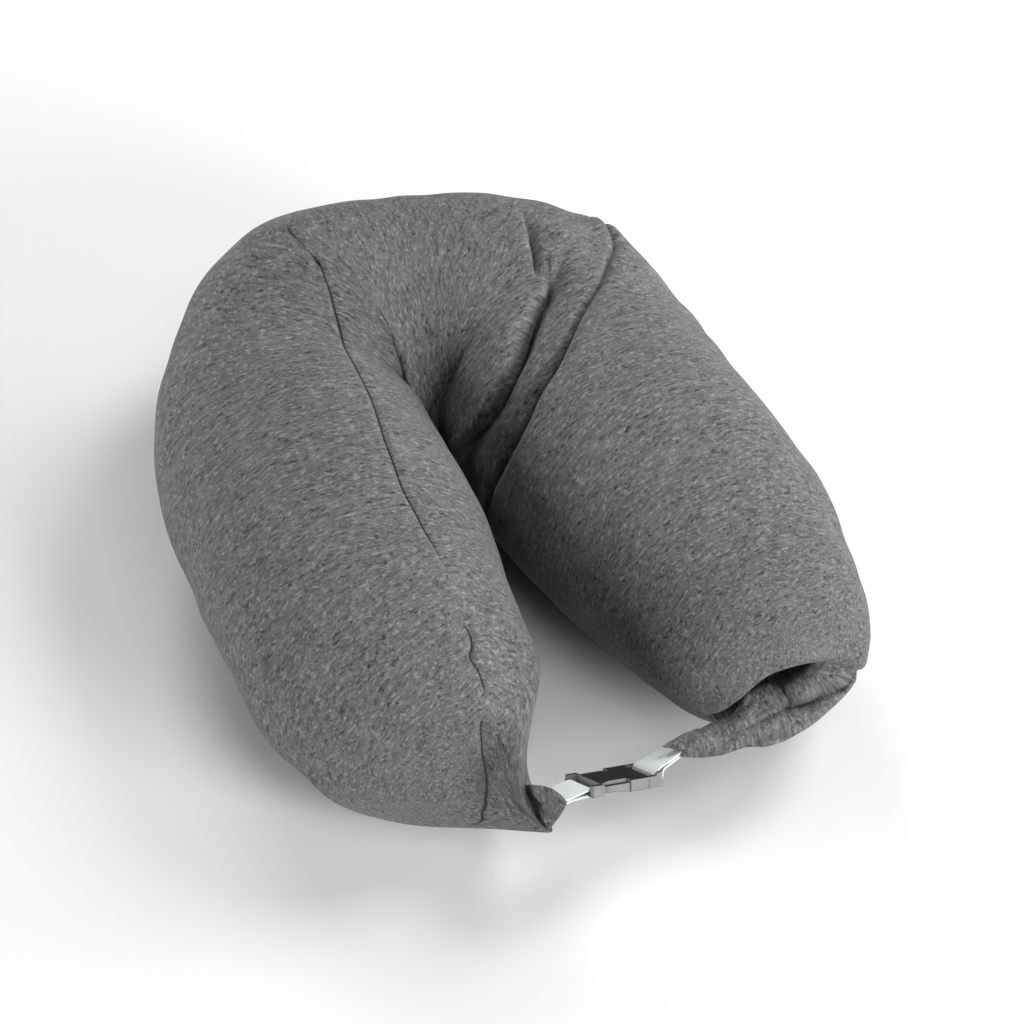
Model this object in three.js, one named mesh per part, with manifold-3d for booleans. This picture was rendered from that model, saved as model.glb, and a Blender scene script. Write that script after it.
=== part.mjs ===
// Travel neck pillow: a long bead-filled jersey tube bent into a U and laid flat.
// Its two ends are drawn in and run out in gathered cloth tails, which carry
// webbing loops and a closed side-release buckle.
// Units are millimetres, +Z is up, the pillow rests on z = 0 and the neck
// opening faces -Y. The origin is the bottom centre of the whole object.
import * as THREE from 'three';
import { mergeVertices } from 'three/addons/utils/BufferGeometryUtils.js';
import Module from 'manifold-3d';

const wasm = await Module();
wasm.setup();

// ---------------------------------------------------------------- sizes
const SECTION_RISE = 0.965;      // half height of the filled section / half width
const AXIS_HEIGHT = 0.915;       // height of the tube's axis / half width (rest is flattened)
const LEFT_TIP = 90;             // length over which the left end is drawn in
const RIGHT_TIP = 125;           // length over which the right end is drawn in
const LEFT_POLE_Z = 50;          // height of the left end's gather
const RIGHT_POLE_Z = 69;         // height of the right end's gather
const LEFT_BLUNT = 2.3;          // bluntness of the drawn-in ends
const RIGHT_BLUNT = 3.0;
const PIVOT_CLEAR = 5;           // inner side stays this far from the centre of a bend
const ARM_SPLIT_X = -40;         // the arms press against each other along this plane
const ARM_GAP = 1.6;             // each arm's clearance to that plane
const RINGS = 104;               // stations along the tube
const ROUND = 38;                // points round the tube
const FIT_GAP = 0.35;            // clearance between touching pieces
const SEAM_ANGLE = 116;          // the lengthwise seam, degrees from the outer side
const SEAM_DEPTH = 1.2;

const WEB_WIDTH = 19;            // 20 mm webbing
const WEB_THICK = 1.2;
const BUCKLE_LENGTH = 42.6;
const BUCKLE_WIDTH = 25;
const BUCKLE_HEIGHT = 8;

// the tube's centre line, left end to right end, seen from above
const TUBE = [
  // x,     y,      half_width
  [-138.0, -185.3, 75.4],
  [-124.6, -138.9, 71.3],
  [-122.6, -88.5, 73.5],
  [-117.8, -38.3, 77.0],
  [-114.8, 11.6, 75.8],
  [-102.3, 59.0, 73.1],
  [-65.5, 89.6, 79.3],
  [-21.5, 86.8, 76.4],
  [17.1, 65.8, 78.1],
  [37.6, 29.8, 78.1],
  [37.1, -18.5, 77.4],
  [43.7, -67.0, 77.2],
  [51.6, -114.6, 72.8],
  [55.4, -161.6, 67.4],
  [61.0, -211.5, 76.0],
];

// creases pressed into the tube round the sharp right bend and the left bend
// each is a line of constant depth that wanders along the tube with the angle
const CREASES = [
  { name: 'right bend, arm side', depth: 8, width: 11,
    line: [ // angle, along, strength
      [10, 408, 0], [36, 411, 0.9], [60, 426, 1], [84, 452, 0.9], [104, 476, 0.9], [136, 490, 1], [180, 494, 0.8], [230, 494, 0]] },
  { name: 'right bend, back side', depth: 6, width: 10,
    line: [
      [62, 392, 0], [84, 416, 0.5], [102, 442, 1], [120, 464, 1], [145, 474, 0.6], [175, 476, 0]] },
  { name: 'left bend pucker', depth: 3, width: 10,
    line: [
      [50, 300, 0], [68, 296, 1], [92, 291, 1], [110, 284, 0]] },
];

// gathered cloth tails: path with the half height and half thickness of the roll
const TAIL_LEFT = [
  // x,      y,      z,   half_height, half_thickness
  [-118.0, -187.0, 50, 13, 9],
  [-109.0, -203.5, 52, 16, 10],
  [-99.5, -214.5, 55, 16, 9],
  [-92.5, -220.5, 60, 14, 7],
  [-87.0, -223.5, 65, 11, 5],
];
const TAIL_RIGHT = [
  [88.0, -190.0, 72, 12, 9],
  [84.0, -207.0, 66, 16, 10],
  [64.0, -217.0, 57, 19, 10],
  [40.0, -219.0, 52, 18, 9],
  [17.0, -219.5, 53, 14, 8],
  [-3.0, -218.0, 56, 11, 6],
  [-15.5, -216.0, 58.5, 9.5, 4],
];

// the buckle's place: its centre, the direction of its length and of its top
const BUCKLE_AT = new THREE.Vector3(-53.0, -222.6, 60.0);
const BUCKLE_ALONG = new THREE.Vector3(0.937, -0.002, -0.348);
const BUCKLE_TOP = new THREE.Vector3(0.296, 0.529, 0.795);

// ---------------------------------------------------------------- helpers
const clamp01 = (v) => Math.min(1, Math.max(0, v));

function interpolate(rows, at, column) {
  if (at <= rows[0][0]) return rows[0][column];
  for (let i = 1; i < rows.length; i++) {
    if (at <= rows[i][0]) {
      const t = (at - rows[i - 1][0]) / (rows[i][0] - rows[i - 1][0]);
      const e = t * t * (3 - 2 * t);
      return rows[i - 1][column] + (rows[i][column] - rows[i - 1][column]) * e;
    }
  }
  return rows[rows.length - 1][column];
}

// uniform Catmull-Rom curve through the rows of a table
function tableCurve(rows, steps) {
  const n = rows.length, width = rows[0].length;
  const row = (i) => {
    if (i < 0) return rows[0].map((v, k) => 2 * v - rows[1][k]);
    if (i >= n) return rows[n - 1].map((v, k) => 2 * v - rows[n - 2][k]);
    return rows[i];
  };
  const out = [];
  for (let j = 0; j < steps; j++) {
    const t = (j / (steps - 1)) * (n - 1);
    const i = Math.min(Math.floor(t), n - 2), u = t - i;
    const a = row(i - 1), b = row(i), c = row(i + 1), d = row(i + 2), p = [];
    for (let k = 0; k < width; k++) {
      p.push(0.5 * (2 * b[k] + (c[k] - a[k]) * u
        + (2 * a[k] - 5 * b[k] + 4 * c[k] - d[k]) * u * u
        + (3 * b[k] - a[k] - 3 * c[k] + d[k]) * u * u * u));
    }
    out.push(p);
  }
  return out;
}

// closed skin over rings of points, with a point at each end
function skin(rings, first, last) {
  const n = rings.length, m = rings[0].length, position = [], index = [];
  for (const ring of rings) for (const p of ring) position.push(p[0], p[1], p[2]);
  for (let i = 0; i < n - 1; i++) {
    for (let j = 0; j < m; j++) {
      const a = i * m + j, b = i * m + (j + 1) % m, c = (i + 1) * m + j, d = (i + 1) * m + (j + 1) % m;
      if ((i + j) % 2) index.push(a, c, b, b, c, d);
      else index.push(a, c, d, a, d, b);
    }
  }
  const s = position.length / 3;
  position.push(...first, ...last);
  for (let j = 0; j < m; j++) {
    const k = (j + 1) % m;
    index.push(s, j, k);
    index.push(s + 1, (n - 1) * m + k, (n - 1) * m + j);
  }
  const g = new THREE.BufferGeometry();
  g.setAttribute('position', new THREE.Float32BufferAttribute(position, 3));
  g.setIndex(index);
  return outward(g);
}

function signedVolume(g) {
  const p = g.attributes.position, ix = g.index;
  const a = new THREE.Vector3(), b = new THREE.Vector3(), c = new THREE.Vector3();
  let v = 0;
  for (let i = 0; i < ix.count; i += 3) {
    a.fromBufferAttribute(p, ix.getX(i));
    b.fromBufferAttribute(p, ix.getX(i + 1));
    c.fromBufferAttribute(p, ix.getX(i + 2));
    v += a.dot(b.cross(c)) / 6;
  }
  return v;
}

function outward(g) {
  if (signedVolume(g) < 0) {
    const ix = g.index.array;
    for (let i = 0; i < ix.length; i += 3) [ix[i + 1], ix[i + 2]] = [ix[i + 2], ix[i + 1]];
  }
  return g;
}

function toSolid(geometry) {
  const g0 = geometry.clone();
  g0.deleteAttribute('normal');
  g0.deleteAttribute('uv');
  const g = mergeVertices(g0, 1e-4);
  const mesh = new wasm.Mesh({
    numProp: 3,
    vertProperties: new Float32Array(g.attributes.position.array),
    triVerts: new Uint32Array(g.index.array),
  });
  mesh.merge();
  return new wasm.Manifold(mesh);
}

function fromSolid(solid) {
  const m = solid.getMesh(), g = new THREE.BufferGeometry(), p = [];
  for (let i = 0; i < m.vertProperties.length; i += m.numProp) {
    p.push(m.vertProperties[i], m.vertProperties[i + 1], m.vertProperties[i + 2]);
  }
  g.setAttribute('position', new THREE.Float32BufferAttribute(p, 3));
  g.setIndex(Array.from(m.triVerts));
  g.computeVertexNormals();
  return g;
}

const box = (x0, x1, y0, y1, z0, z1) =>
  toSolid(new THREE.BoxGeometry(x1 - x0, y1 - y0, z1 - z0).translate((x0 + x1) / 2, (y0 + y1) / 2, (z0 + z1) / 2));

// ---------------------------------------------------------------- pillow body
function tubeStations() {
  const line = tableCurve(TUBE, 900);
  const along = [0];
  for (let i = 1; i < line.length; i++) {
    along.push(along[i - 1] + Math.hypot(line[i][0] - line[i - 1][0], line[i][1] - line[i - 1][1]));
  }
  const length = along[along.length - 1];
  const at = (s) => {
    let i = 1;
    while (i < along.length - 1 && along[i] < s) i++;
    const t = (s - along[i - 1]) / (along[i] - along[i - 1]);
    return line[i].map((v, k) => line[i - 1][k] + (v - line[i - 1][k]) * t);
  };
  const places = [], caps = 9;
  for (let i = 1; i < caps; i++) places.push(LEFT_TIP * 0.8 * (1 - Math.cos((i / caps) * Math.PI / 2)));
  // rings are closer together round the bends
  const from = LEFT_TIP * 0.8, to = length - RIGHT_TIP * 0.5, mid = RINGS - 2 * caps, sums = [0];
  const density = (v) => 1 + 1.6 * Math.exp(-(((v - 440) / 60) ** 2)) + 0.5 * Math.exp(-(((v - 280) / 60) ** 2));
  for (let v = from; v < to; v += 1) sums.push(sums[sums.length - 1] + density(v));
  for (let i = 0; i <= mid; i++) {
    const want = (i / mid) * sums[sums.length - 1];
    let k = 1;
    while (k < sums.length - 1 && sums[k] < want) k++;
    places.push(Math.min(from + k - 1 + (want - sums[k - 1]) / (sums[k] - sums[k - 1]), to));
  }
  for (let i = caps - 1; i > 0; i--) places.push(length - RIGHT_TIP * 0.5 * (1 - Math.cos((i / caps) * Math.PI / 2)));
  return { length, at, places };
}

function pillowBody() {
  const { length, at, places } = tubeStations();
  const cap = (u, tip, blunt) => Math.pow(1 - Math.pow(1 - clamp01(u / tip), blunt), 1 / blunt);
  const rings = [];
  const station = (s) => {
    const h = 9, p = at(s), a = at(Math.max(0, s - h)), b = at(Math.min(length, s + h));
    let tx = b[0] - a[0], ty = b[1] - a[1];
    const l = Math.hypot(tx, ty);
    tx /= l; ty /= l;
    // radius of the bend, positive where the tube turns to the right
    const a2 = at(Math.max(0, s - 22)), b2 = at(Math.min(length, s + 22));
    const u = [p[0] - a2[0], p[1] - a2[1]], w = [b2[0] - p[0], b2[1] - p[1]];
    const turn = Math.atan2(u[1] * w[0] - u[0] * w[1], u[0] * w[0] + u[1] * w[1]);
    const radius = turn > 1e-3 ? 0.5 * (Math.hypot(...u) + Math.hypot(...w)) / turn : 1e4;
    return { x: p[0], y: p[1], r: p[2], nx: -ty, ny: tx, radius };
  };
  for (const s of places) {
    const q = station(s);
    const r = q.r * cap(s, LEFT_TIP, LEFT_BLUNT) * cap(length - s, RIGHT_TIP, RIGHT_BLUNT);
    const axis = AXIS_HEIGHT * q.r;
    const z0 = axis + (LEFT_POLE_Z - axis) * Math.pow(clamp01(1 - s / LEFT_TIP), 2)
      + (RIGHT_POLE_Z - axis) * Math.pow(clamp01(1 - (length - s) / RIGHT_TIP), 2);
    const ring = [];
    for (let j = 0; j < ROUND; j++) {
      const angle = (j / ROUND) * 360, t = THREE.MathUtils.degToRad(angle);
      let dent = 0;
      for (const c of CREASES) {
        const where = interpolate(c.line, angle, 1), strength = interpolate(c.line, angle, 2);
        dent += c.depth * strength * Math.exp(-(((s - where) / c.width) ** 2));
      }
      if (s > 25 && s < 280) dent += SEAM_DEPTH * Math.exp(-(((angle - SEAM_ANGLE) / 6) ** 2));
      const rr = Math.max(r - Math.min(dent, 0.3 * r), 0.4 * r);
      let side = rr * Math.cos(t), up = SECTION_RISE * rr * Math.sin(t);
      // the inner side of a bend is bunched up before its pivot
      if (side < 0) {
        const limit = Math.max(q.radius - PIVOT_CLEAR, 20), k = 0.28;
        side = Math.log(Math.exp(k * side) + Math.exp(-k * limit)) / k;
      }
      let x = q.x + q.nx * side, y = q.y + q.ny * side;
      const z = Math.max(z0 + up, 0);
      // the arms press against each other
      const k = 0.5;
      if (s < length * 0.42) x = -Math.log(Math.exp(-k * (x - ARM_SPLIT_X)) + Math.exp(k * ARM_GAP)) / k + ARM_SPLIT_X;
      if (s > length * 0.62) x = Math.log(Math.exp(k * (x - ARM_SPLIT_X)) + Math.exp(k * ARM_GAP)) / k + ARM_SPLIT_X;
      ring.push([x, y, z]);
    }
    rings.push(ring);
  }
  const a = at(0), b = at(length);
  return skin(rings, [a[0], a[1], LEFT_POLE_Z], [b[0], b[1], RIGHT_POLE_Z]);
}

// ---------------------------------------------------------------- gathered tails
function tail(rows, grow = 0) {
  const steps = 3 * rows.length, round = 14;
  const line = tableCurve(rows, steps), rings = [];
  const dir = (i) => new THREE.Vector3(...line[Math.min(i + 1, steps - 1)].slice(0, 3))
    .sub(new THREE.Vector3(...line[Math.max(i - 1, 0)].slice(0, 3))).normalize();
  for (let i = 0; i < steps; i++) {
    const [x, y, z, high, thick] = line[i], t = dir(i);
    const across = new THREE.Vector3(0, 0, 1).cross(t).normalize(), up = t.clone().cross(across);
    const end = Math.min(i, steps - 1 - i), round0 = [0.72, 0.92, 1][Math.min(end, 2)], ring = [];
    for (let j = 0; j < round; j++) {
      const a = (j / round) * 2 * Math.PI;
      const ruffle = 1 + 0.07 * Math.sin(5 * a + 0.5 * i);
      const u = (high * round0 * ruffle + grow) * Math.sin(a), v = (thick * round0 * ruffle + grow) * Math.cos(a);
      ring.push([x + up.x * u + across.x * v, y + up.y * u + across.y * v, z + up.z * u + across.z * v]);
    }
    rings.push(ring);
  }
  const push = (i, sign) => {
    const t = dir(i), p = line[i];
    return [p[0] + t.x * sign * (1.5 + grow), p[1] + t.y * sign * (1.5 + grow), p[2] + t.z * sign * (1.5 + grow)];
  };
  return skin(rings, push(0, -1), push(steps - 1, 1));
}

// ---------------------------------------------------------------- buckle
// local frame: x along the buckle from plug to socket, z out of its top
const BUCKLE_END = BUCKLE_LENGTH / 2;
const PLUG_EDGE = -14.8;          // the plug's block ends here
const SOCKET_EDGE = -14.4;        // the socket's mouth
const WINDOW_END = -1.0;          // side windows reach this far
const BAR = 2.6;                  // width of the webbing bars
const SLOT = 3.2;                 // width of the webbing slots

function buckleSocket() {
  const w = BUCKLE_WIDTH / 2 - 0.3, h = BUCKLE_HEIGHT / 2 - 0.3;
  const outline = new THREE.Shape();
  outline.moveTo(SOCKET_EDGE, -w + 1.2);
  outline.lineTo(SOCKET_EDGE + 1.2, -w);
  outline.lineTo(BUCKLE_END - 3, -w);
  outline.quadraticCurveTo(BUCKLE_END, -w, BUCKLE_END, -w + 3);
  outline.lineTo(BUCKLE_END, w - 3);
  outline.quadraticCurveTo(BUCKLE_END, w, BUCKLE_END - 3, w);
  outline.lineTo(SOCKET_EDGE + 1.2, w);
  outline.lineTo(SOCKET_EDGE, w - 1.2);
  outline.closePath();
  const body = toSolid(new THREE.ExtrudeGeometry(outline, { depth: 2 * h - 1, bevelEnabled: true, bevelThickness: 0.5, bevelSize: 0.5, bevelOffset: -0.5, bevelSegments: 1, curveSegments: 4 })
    .translate(0, 0, -h + 0.5));
  return body
    .subtract(box(SOCKET_EDGE - 2, 9, -9.6, 9.6, -2.1, 2.1))
    .subtract(box(SOCKET_EDGE - 2, WINDOW_END, -20, 20, -2.1, 2.1))
    .subtract(box(BUCKLE_END - BAR - SLOT, BUCKLE_END - BAR, -WEB_WIDTH / 2 - 0.5, WEB_WIDTH / 2 + 0.5, -10, 10));
}

function bucklePlug() {
  const w = BUCKLE_WIDTH / 2, h = BUCKLE_HEIGHT / 2;
  const block = new THREE.Shape();
  block.moveTo(-BUCKLE_END, -w + 1);
  block.lineTo(-BUCKLE_END + 1, -w);
  block.lineTo(PLUG_EDGE, -w);
  block.lineTo(PLUG_EDGE, w);
  block.lineTo(-BUCKLE_END + 1, w);
  block.lineTo(-BUCKLE_END, w - 1);
  block.closePath();
  const base = toSolid(new THREE.ExtrudeGeometry(block, { depth: 2 * h, bevelEnabled: false }).translate(0, 0, -h))
    .subtract(box(-BUCKLE_END + BAR, -BUCKLE_END + BAR + SLOT, -WEB_WIDTH / 2 - 0.5, WEB_WIDTH / 2 + 0.5, -10, 10));
  let all = base.add(box(PLUG_EDGE - 0.5, 5, -2, 2, -1.2, 1.2));
  for (const side of [-1, 1]) {
    const prong = new THREE.Shape();
    prong.moveTo(PLUG_EDGE - 0.5, 8.6);
    prong.lineTo(7, 6.2);
    prong.lineTo(8.4, 7.2);
    prong.lineTo(6, 9.2);
    prong.lineTo(WINDOW_END - 0.35, 9.2);
    prong.lineTo(WINDOW_END - 0.35, 12.0);
    prong.lineTo(-6, 11.4);
    prong.lineTo(-11, 10.6);
    prong.lineTo(PLUG_EDGE - 0.5, 10.8);
    prong.closePath();
    const g = new THREE.ExtrudeGeometry(prong, { depth: 3.4, bevelEnabled: false }).translate(0, 0, -1.7);
    if (side < 0) g.rotateX(Math.PI);
    all = all.add(toSolid(g));
  }
  return all;
}

// a webbing loop round a bar: a flat band with two layers, drawn in side view
function webbingLoop(barX, tailAngle, tailLength, sign) {
  const gap = 0.45;
  const inR = BAR / 2 + gap, t = WEB_THICK, high = BUCKLE_HEIGHT / 2 + gap;
  const c = Math.cos(tailAngle) * tailLength, s = Math.sin(tailAngle) * tailLength;
  // away from the bar the band narrows to two touching layers
  const outline = [
    [-(inR + t), -high - 0.3], [-(inR + t), high + 0.3], [-(inR + t - 0.8), high + t], [inR + 0.6, high + t],
    [c, s + t + 0.5], [c, s - t - 0.5], [inR + 0.6, -high - t], [-(inR + t - 0.8), -high - t]];
  const inside = [
    [-inR, -high], [-inR, high], [inR, high], [0.8 * c, 0.8 * s + 0.5], [0.8 * c, 0.8 * s - 0.5], [inR, -high]];
  const points = (rows, clockwise) => {
    const v = rows.map(([x, y]) => new THREE.Vector2(sign * x, y));
    return THREE.ShapeUtils.isClockWise(v) === clockwise ? v : v.reverse();
  };
  const band = new THREE.Shape(points(outline, false));
  band.holes.push(new THREE.Path(points(inside, true)));
  const g = new THREE.ExtrudeGeometry(band, { depth: WEB_WIDTH, bevelEnabled: false });
  // the drawing's x, y become the buckle's x, z; its depth becomes the width
  g.rotateX(Math.PI / 2).translate(0, WEB_WIDTH / 2, 0).translate(barX, 0, 0);
  return toSolid(g);
}

// ---------------------------------------------------------------- assembly
const jersey = new THREE.MeshStandardMaterial({ name: 'heather jersey', color: 0x74776f, roughness: 0.95, metalness: 0 });
const webbing = new THREE.MeshStandardMaterial({ name: 'white webbing', color: 0xdfe6e1, roughness: 0.8, metalness: 0 });
const plastic = new THREE.MeshStandardMaterial({ name: 'dark grey plastic', color: 0x4b4b4a, roughness: 0.5, metalness: 0 });

function mesh(name, geometry, material) {
  const m = new THREE.Mesh(geometry, material);
  m.name = name;
  return m;
}

const along = BUCKLE_ALONG.clone().normalize();
const top = BUCKLE_TOP.clone().sub(along.clone().multiplyScalar(BUCKLE_TOP.dot(along))).normalize();
const pose = new THREE.Matrix4().makeBasis(along, top.clone().cross(along), top).setPosition(BUCKLE_AT);
const unpose = pose.clone().invert();

const tailLeft = tail(TAIL_LEFT), tailRight = tail(TAIL_RIGHT);
const pocketLeft = toSolid(tail(TAIL_LEFT, FIT_GAP)), pocketRight = toSolid(tail(TAIL_RIGHT, FIT_GAP));
const body = toSolid(pillowBody()).subtract(pocketLeft).subtract(pocketRight);

const plugBarX = -BUCKLE_END + BAR / 2, socketBarX = BUCKLE_END - BAR / 2;
const inBuckleFrame = (solid) => toSolid(fromSolid(solid).applyMatrix4(unpose));
const loopLeft = webbingLoop(plugBarX, -0.36, 17, -1).subtract(inBuckleFrame(pocketLeft));
const loopRight = webbingLoop(socketBarX, 0.5, 21, 1).subtract(inBuckleFrame(pocketRight));

const buckle = new THREE.Group();
buckle.applyMatrix4(pose);
buckle.add(mesh('buckle_plug', fromSolid(bucklePlug()), plastic));
buckle.add(mesh('buckle_socket', fromSolid(buckleSocket()), plastic));
buckle.add(mesh('webbing_left', fromSolid(loopLeft), webbing));
buckle.add(mesh('webbing_right', fromSolid(loopRight), webbing));

const pillow = new THREE.Group();
pillow.add(mesh('pillow_body', fromSolid(body), jersey));
pillow.add(mesh('tail_left', tailLeft, jersey));
pillow.add(mesh('tail_right', tailRight, jersey));
pillow.add(buckle);

// the origin goes to the bottom centre of the whole object
pillow.updateMatrixWorld(true);
const bounds = new THREE.Box3().setFromObject(pillow, true);
pillow.position.set(-(bounds.min.x + bounds.max.x) / 2, -(bounds.min.y + bounds.max.y) / 2, -bounds.min.z);

const group = new THREE.Group();
group.add(pillow);
group.updateMatrixWorld(true);

export default group;
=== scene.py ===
# Travel neck pillow lying on a pale floor: the filled jersey tube with its seam,
# bends and creases, the gathered tails, the webbing loops and the closed buckle.
# Shapes are worked out in millimetres in the tube's own drawing frame and put
# into the row frame, in metres, at the end.
import math

import bmesh
import bpy
import numpy as np
from mathutils import Matrix, Vector


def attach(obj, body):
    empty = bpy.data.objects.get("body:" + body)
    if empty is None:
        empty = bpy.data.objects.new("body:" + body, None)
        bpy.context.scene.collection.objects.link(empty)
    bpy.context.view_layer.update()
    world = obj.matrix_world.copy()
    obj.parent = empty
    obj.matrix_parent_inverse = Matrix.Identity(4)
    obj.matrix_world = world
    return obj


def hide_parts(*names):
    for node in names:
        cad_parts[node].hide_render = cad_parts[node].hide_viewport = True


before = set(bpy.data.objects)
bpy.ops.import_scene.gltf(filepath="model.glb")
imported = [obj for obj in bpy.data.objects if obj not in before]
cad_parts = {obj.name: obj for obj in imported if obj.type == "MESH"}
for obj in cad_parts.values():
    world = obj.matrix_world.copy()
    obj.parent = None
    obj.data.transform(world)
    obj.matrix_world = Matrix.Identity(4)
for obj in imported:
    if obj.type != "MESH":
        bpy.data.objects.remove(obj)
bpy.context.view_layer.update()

OFF = np.array([36.195, 32.384, 0.0])  # drawing frame -> row frame

# ------------------------------------------------------------------ the filled tube
SECTION_RISE = 0.965
AXIS_HEIGHT = 0.915
LEFT_TIP, RIGHT_TIP = 90.0, 125.0
LEFT_POLE_Z, RIGHT_POLE_Z = 50.0, 69.0
LEFT_BLUNT, RIGHT_BLUNT = 2.3, 3.0
PIVOT_CLEAR = 5.0
ARM_SPLIT_X, ARM_GAP = -40.0, 1.6
TUBE = np.array([
    [-138.0, -185.3, 75.4], [-124.6, -138.9, 71.3], [-122.6, -88.5, 73.5], [-117.8, -38.3, 77.0],
    [-114.8, 11.6, 75.8], [-102.3, 59.0, 73.1], [-65.5, 89.6, 79.3], [-21.5, 86.8, 76.4],
    [17.1, 65.8, 78.1], [37.6, 29.8, 78.1], [37.1, -18.5, 77.4], [43.7, -67.0, 77.2],
    [51.6, -114.6, 72.8], [55.4, -161.6, 67.4], [61.0, -211.5, 76.0]])


def catmull(rows, n):
    """Uniform Catmull-Rom through the rows, n points."""
    rows = np.asarray(rows, float)
    p = np.vstack([2 * rows[0] - rows[1], rows, 2 * rows[-1] - rows[-2]])
    m = len(rows) - 1
    t = np.linspace(0, m, n)
    i = np.minimum(t.astype(int), m - 1)
    u = (t - i)[:, None]
    a, b, c, d = p[i], p[i + 1], p[i + 2], p[i + 3]
    return 0.5 * (2 * b + (c - a) * u + (2 * a - 5 * b + 4 * c - d) * u * u + (3 * b - a - 3 * c + d) * u**3)


def smooth(a, b, x):
    t = np.clip((x - a) / (b - a), 0, 1)
    return t * t * (3 - 2 * t)


def bump(x, w):
    return np.exp(-((x / w) ** 2))


LINE = catmull(TUBE, 900)
ALONG = np.concatenate([[0], np.cumsum(np.hypot(*np.diff(LINE[:, :2], axis=0).T))])
LENGTH = ALONG[-1]


def line_at(s):
    s = np.clip(s, 0, LENGTH)
    return np.stack([np.interp(s, ALONG, LINE[:, k]) for k in range(3)], -1)


def cap(u, tip, blunt):
    return (1 - (1 - np.clip(u / tip, 0, 1)) ** blunt) ** (1 / blunt)


def tube_point(s, deg):
    """Plain surface of the filled tube at length s and angle deg (0 outer side, 90 top), in mm."""
    s, deg = np.broadcast_arrays(np.asarray(s, float), np.asarray(deg, float))
    p, a, b = line_at(s), line_at(s - 9), line_at(s + 9)
    t = (b - a)[..., :2]
    t = t / np.linalg.norm(t, axis=-1, keepdims=True)
    nx, ny = -t[..., 1], t[..., 0]
    u, w = (p - line_at(s - 22))[..., :2], (line_at(s + 22) - p)[..., :2]
    turn = np.arctan2(u[..., 1] * w[..., 0] - u[..., 0] * w[..., 1], (u * w).sum(-1))
    reach = 0.5 * (np.linalg.norm(u, axis=-1) + np.linalg.norm(w, axis=-1))
    radius = np.where(turn > 1e-3, reach / np.maximum(turn, 1e-3), 1e4)
    full = p[..., 2]
    r = full * cap(s, LEFT_TIP, LEFT_BLUNT) * cap(LENGTH - s, RIGHT_TIP, RIGHT_BLUNT)
    axis = AXIS_HEIGHT * full
    z0 = (axis + (LEFT_POLE_Z - axis) * np.clip(1 - s / LEFT_TIP, 0, 1) ** 2
          + (RIGHT_POLE_Z - axis) * np.clip(1 - (LENGTH - s) / RIGHT_TIP, 0, 1) ** 2)
    th = np.radians(deg)
    side, up = r * np.cos(th), SECTION_RISE * r * np.sin(th)
    k = 0.28
    limit = np.maximum(radius - PIVOT_CLEAR, 20)
    side = np.where(side < 0, np.log(np.exp(k * side) + np.exp(-k * np.minimum(limit, 400))) / k, side)
    x, y = p[..., 0] + nx * side, p[..., 1] + ny * side
    k = 0.4
    z = np.logaddexp(k * (z0 + up), 0) / k
    k = 0.5
    left = -np.logaddexp(-k * (x - ARM_SPLIT_X), k * ARM_GAP) / k + ARM_SPLIT_X
    right = np.logaddexp(k * (x - ARM_SPLIT_X), k * ARM_GAP) / k + ARM_SPLIT_X
    x = np.where(s < LENGTH * 0.42, left, np.where(s > LENGTH * 0.62, right, x))
    return np.stack([x, y, z], -1)


# creases are given on the tube: length along it, angle, and what the cloth does there
# (lengths in millimetres, angles in degrees, 0 outer side, 90 top, 180 inner side)
SEAM = np.array([  # along, angle, how deep it is drawn in (share)
    [4.9, 236, 0.3], [4.4, 219.4, 0.9], [3.4, 206.6, 1.0], [3.4, 193.4, 1.0], [3.7, 183, 1.0], [4.7, 172.5, 1.0],
    [5.7, 165.7, 1.0], [6.8, 158, 1.0], [8.3, 149, 1.1], [10.6, 140.9, 1.1], [13.9, 133.5, 1.1], [15.2, 131.2, 0.8],
    [17.5, 131, 0.2], [21, 130, 0.03], [24, 127.8, 0.25], [28.1, 125.2, 0.8], [32.3, 122.2, 0.9], [35.2, 118.8, 1.0],
    [37.6, 118.2, 1.2], [41, 119.9, 1.3], [45.9, 119.1, 0.9], [48.3, 116.9, 0.5], [50.5, 115.5, 0.1], [60, 115.5, 0.05],
    [74, 115.5, 0.1], [84, 116.2, 0.55], [105, 114.5, 0.8], [129.7, 112.1, 0.9], [154.4, 112.8, 0.9],
    [186, 117.5, 0.9], [209.3, 117.7, 1.0], [250.2, 113.9, 1.0], [274.8, 104.1, 0.9], [286, 96, 0.9],
    [291.6, 90.5, 0.9], [294, 84, 0.5], [296.5, 76, 0.5], [298.6, 67, 0.6], [300.5, 61, 0.4], [302.5, 54, 0.2],
    [306, 44, 0.2], [313, 30, 0.6], [330, 14, 0.6], [380, 4, 0.6], [440, -4, 0.6], [525, -10, 0.6], [600, -16, 0.6],
    [655, -20, 0.6]])


def seam_angle(s):
    """Angle that a grid column follows along the tube, so that it lies on the seam where that shows."""
    rows = np.array([[0, 117], [45, 116.5], [92, 115], [129, 112.5], [152, 112.5], [182, 115], [240, 115],
                     [262, 108], [282, 97], [300, 86], [340, 74], [420, 66], [520, 60], [668, 60]], float)
    return np.interp(s, rows[:, 0], rows[:, 1])


BEND = np.array([  # the sharp right bend's long crease: angle, along
    [-10, 396], [14, 398], [26, 406], [37, 414], [47, 423], [66, 435], [78.5, 449], [88, 460], [100, 474.5],
    [110.5, 482], [123, 486.7], [132, 491], [146, 493.5], [162, 491.4], [200, 484], [240, 474], [290, 440], [350, 396]])


def bend_line(deg):
    d = (np.asarray(deg, float) + 10) % 360 - 10
    return np.interp(d, BEND[:, 0], BEND[:, 1])


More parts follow.
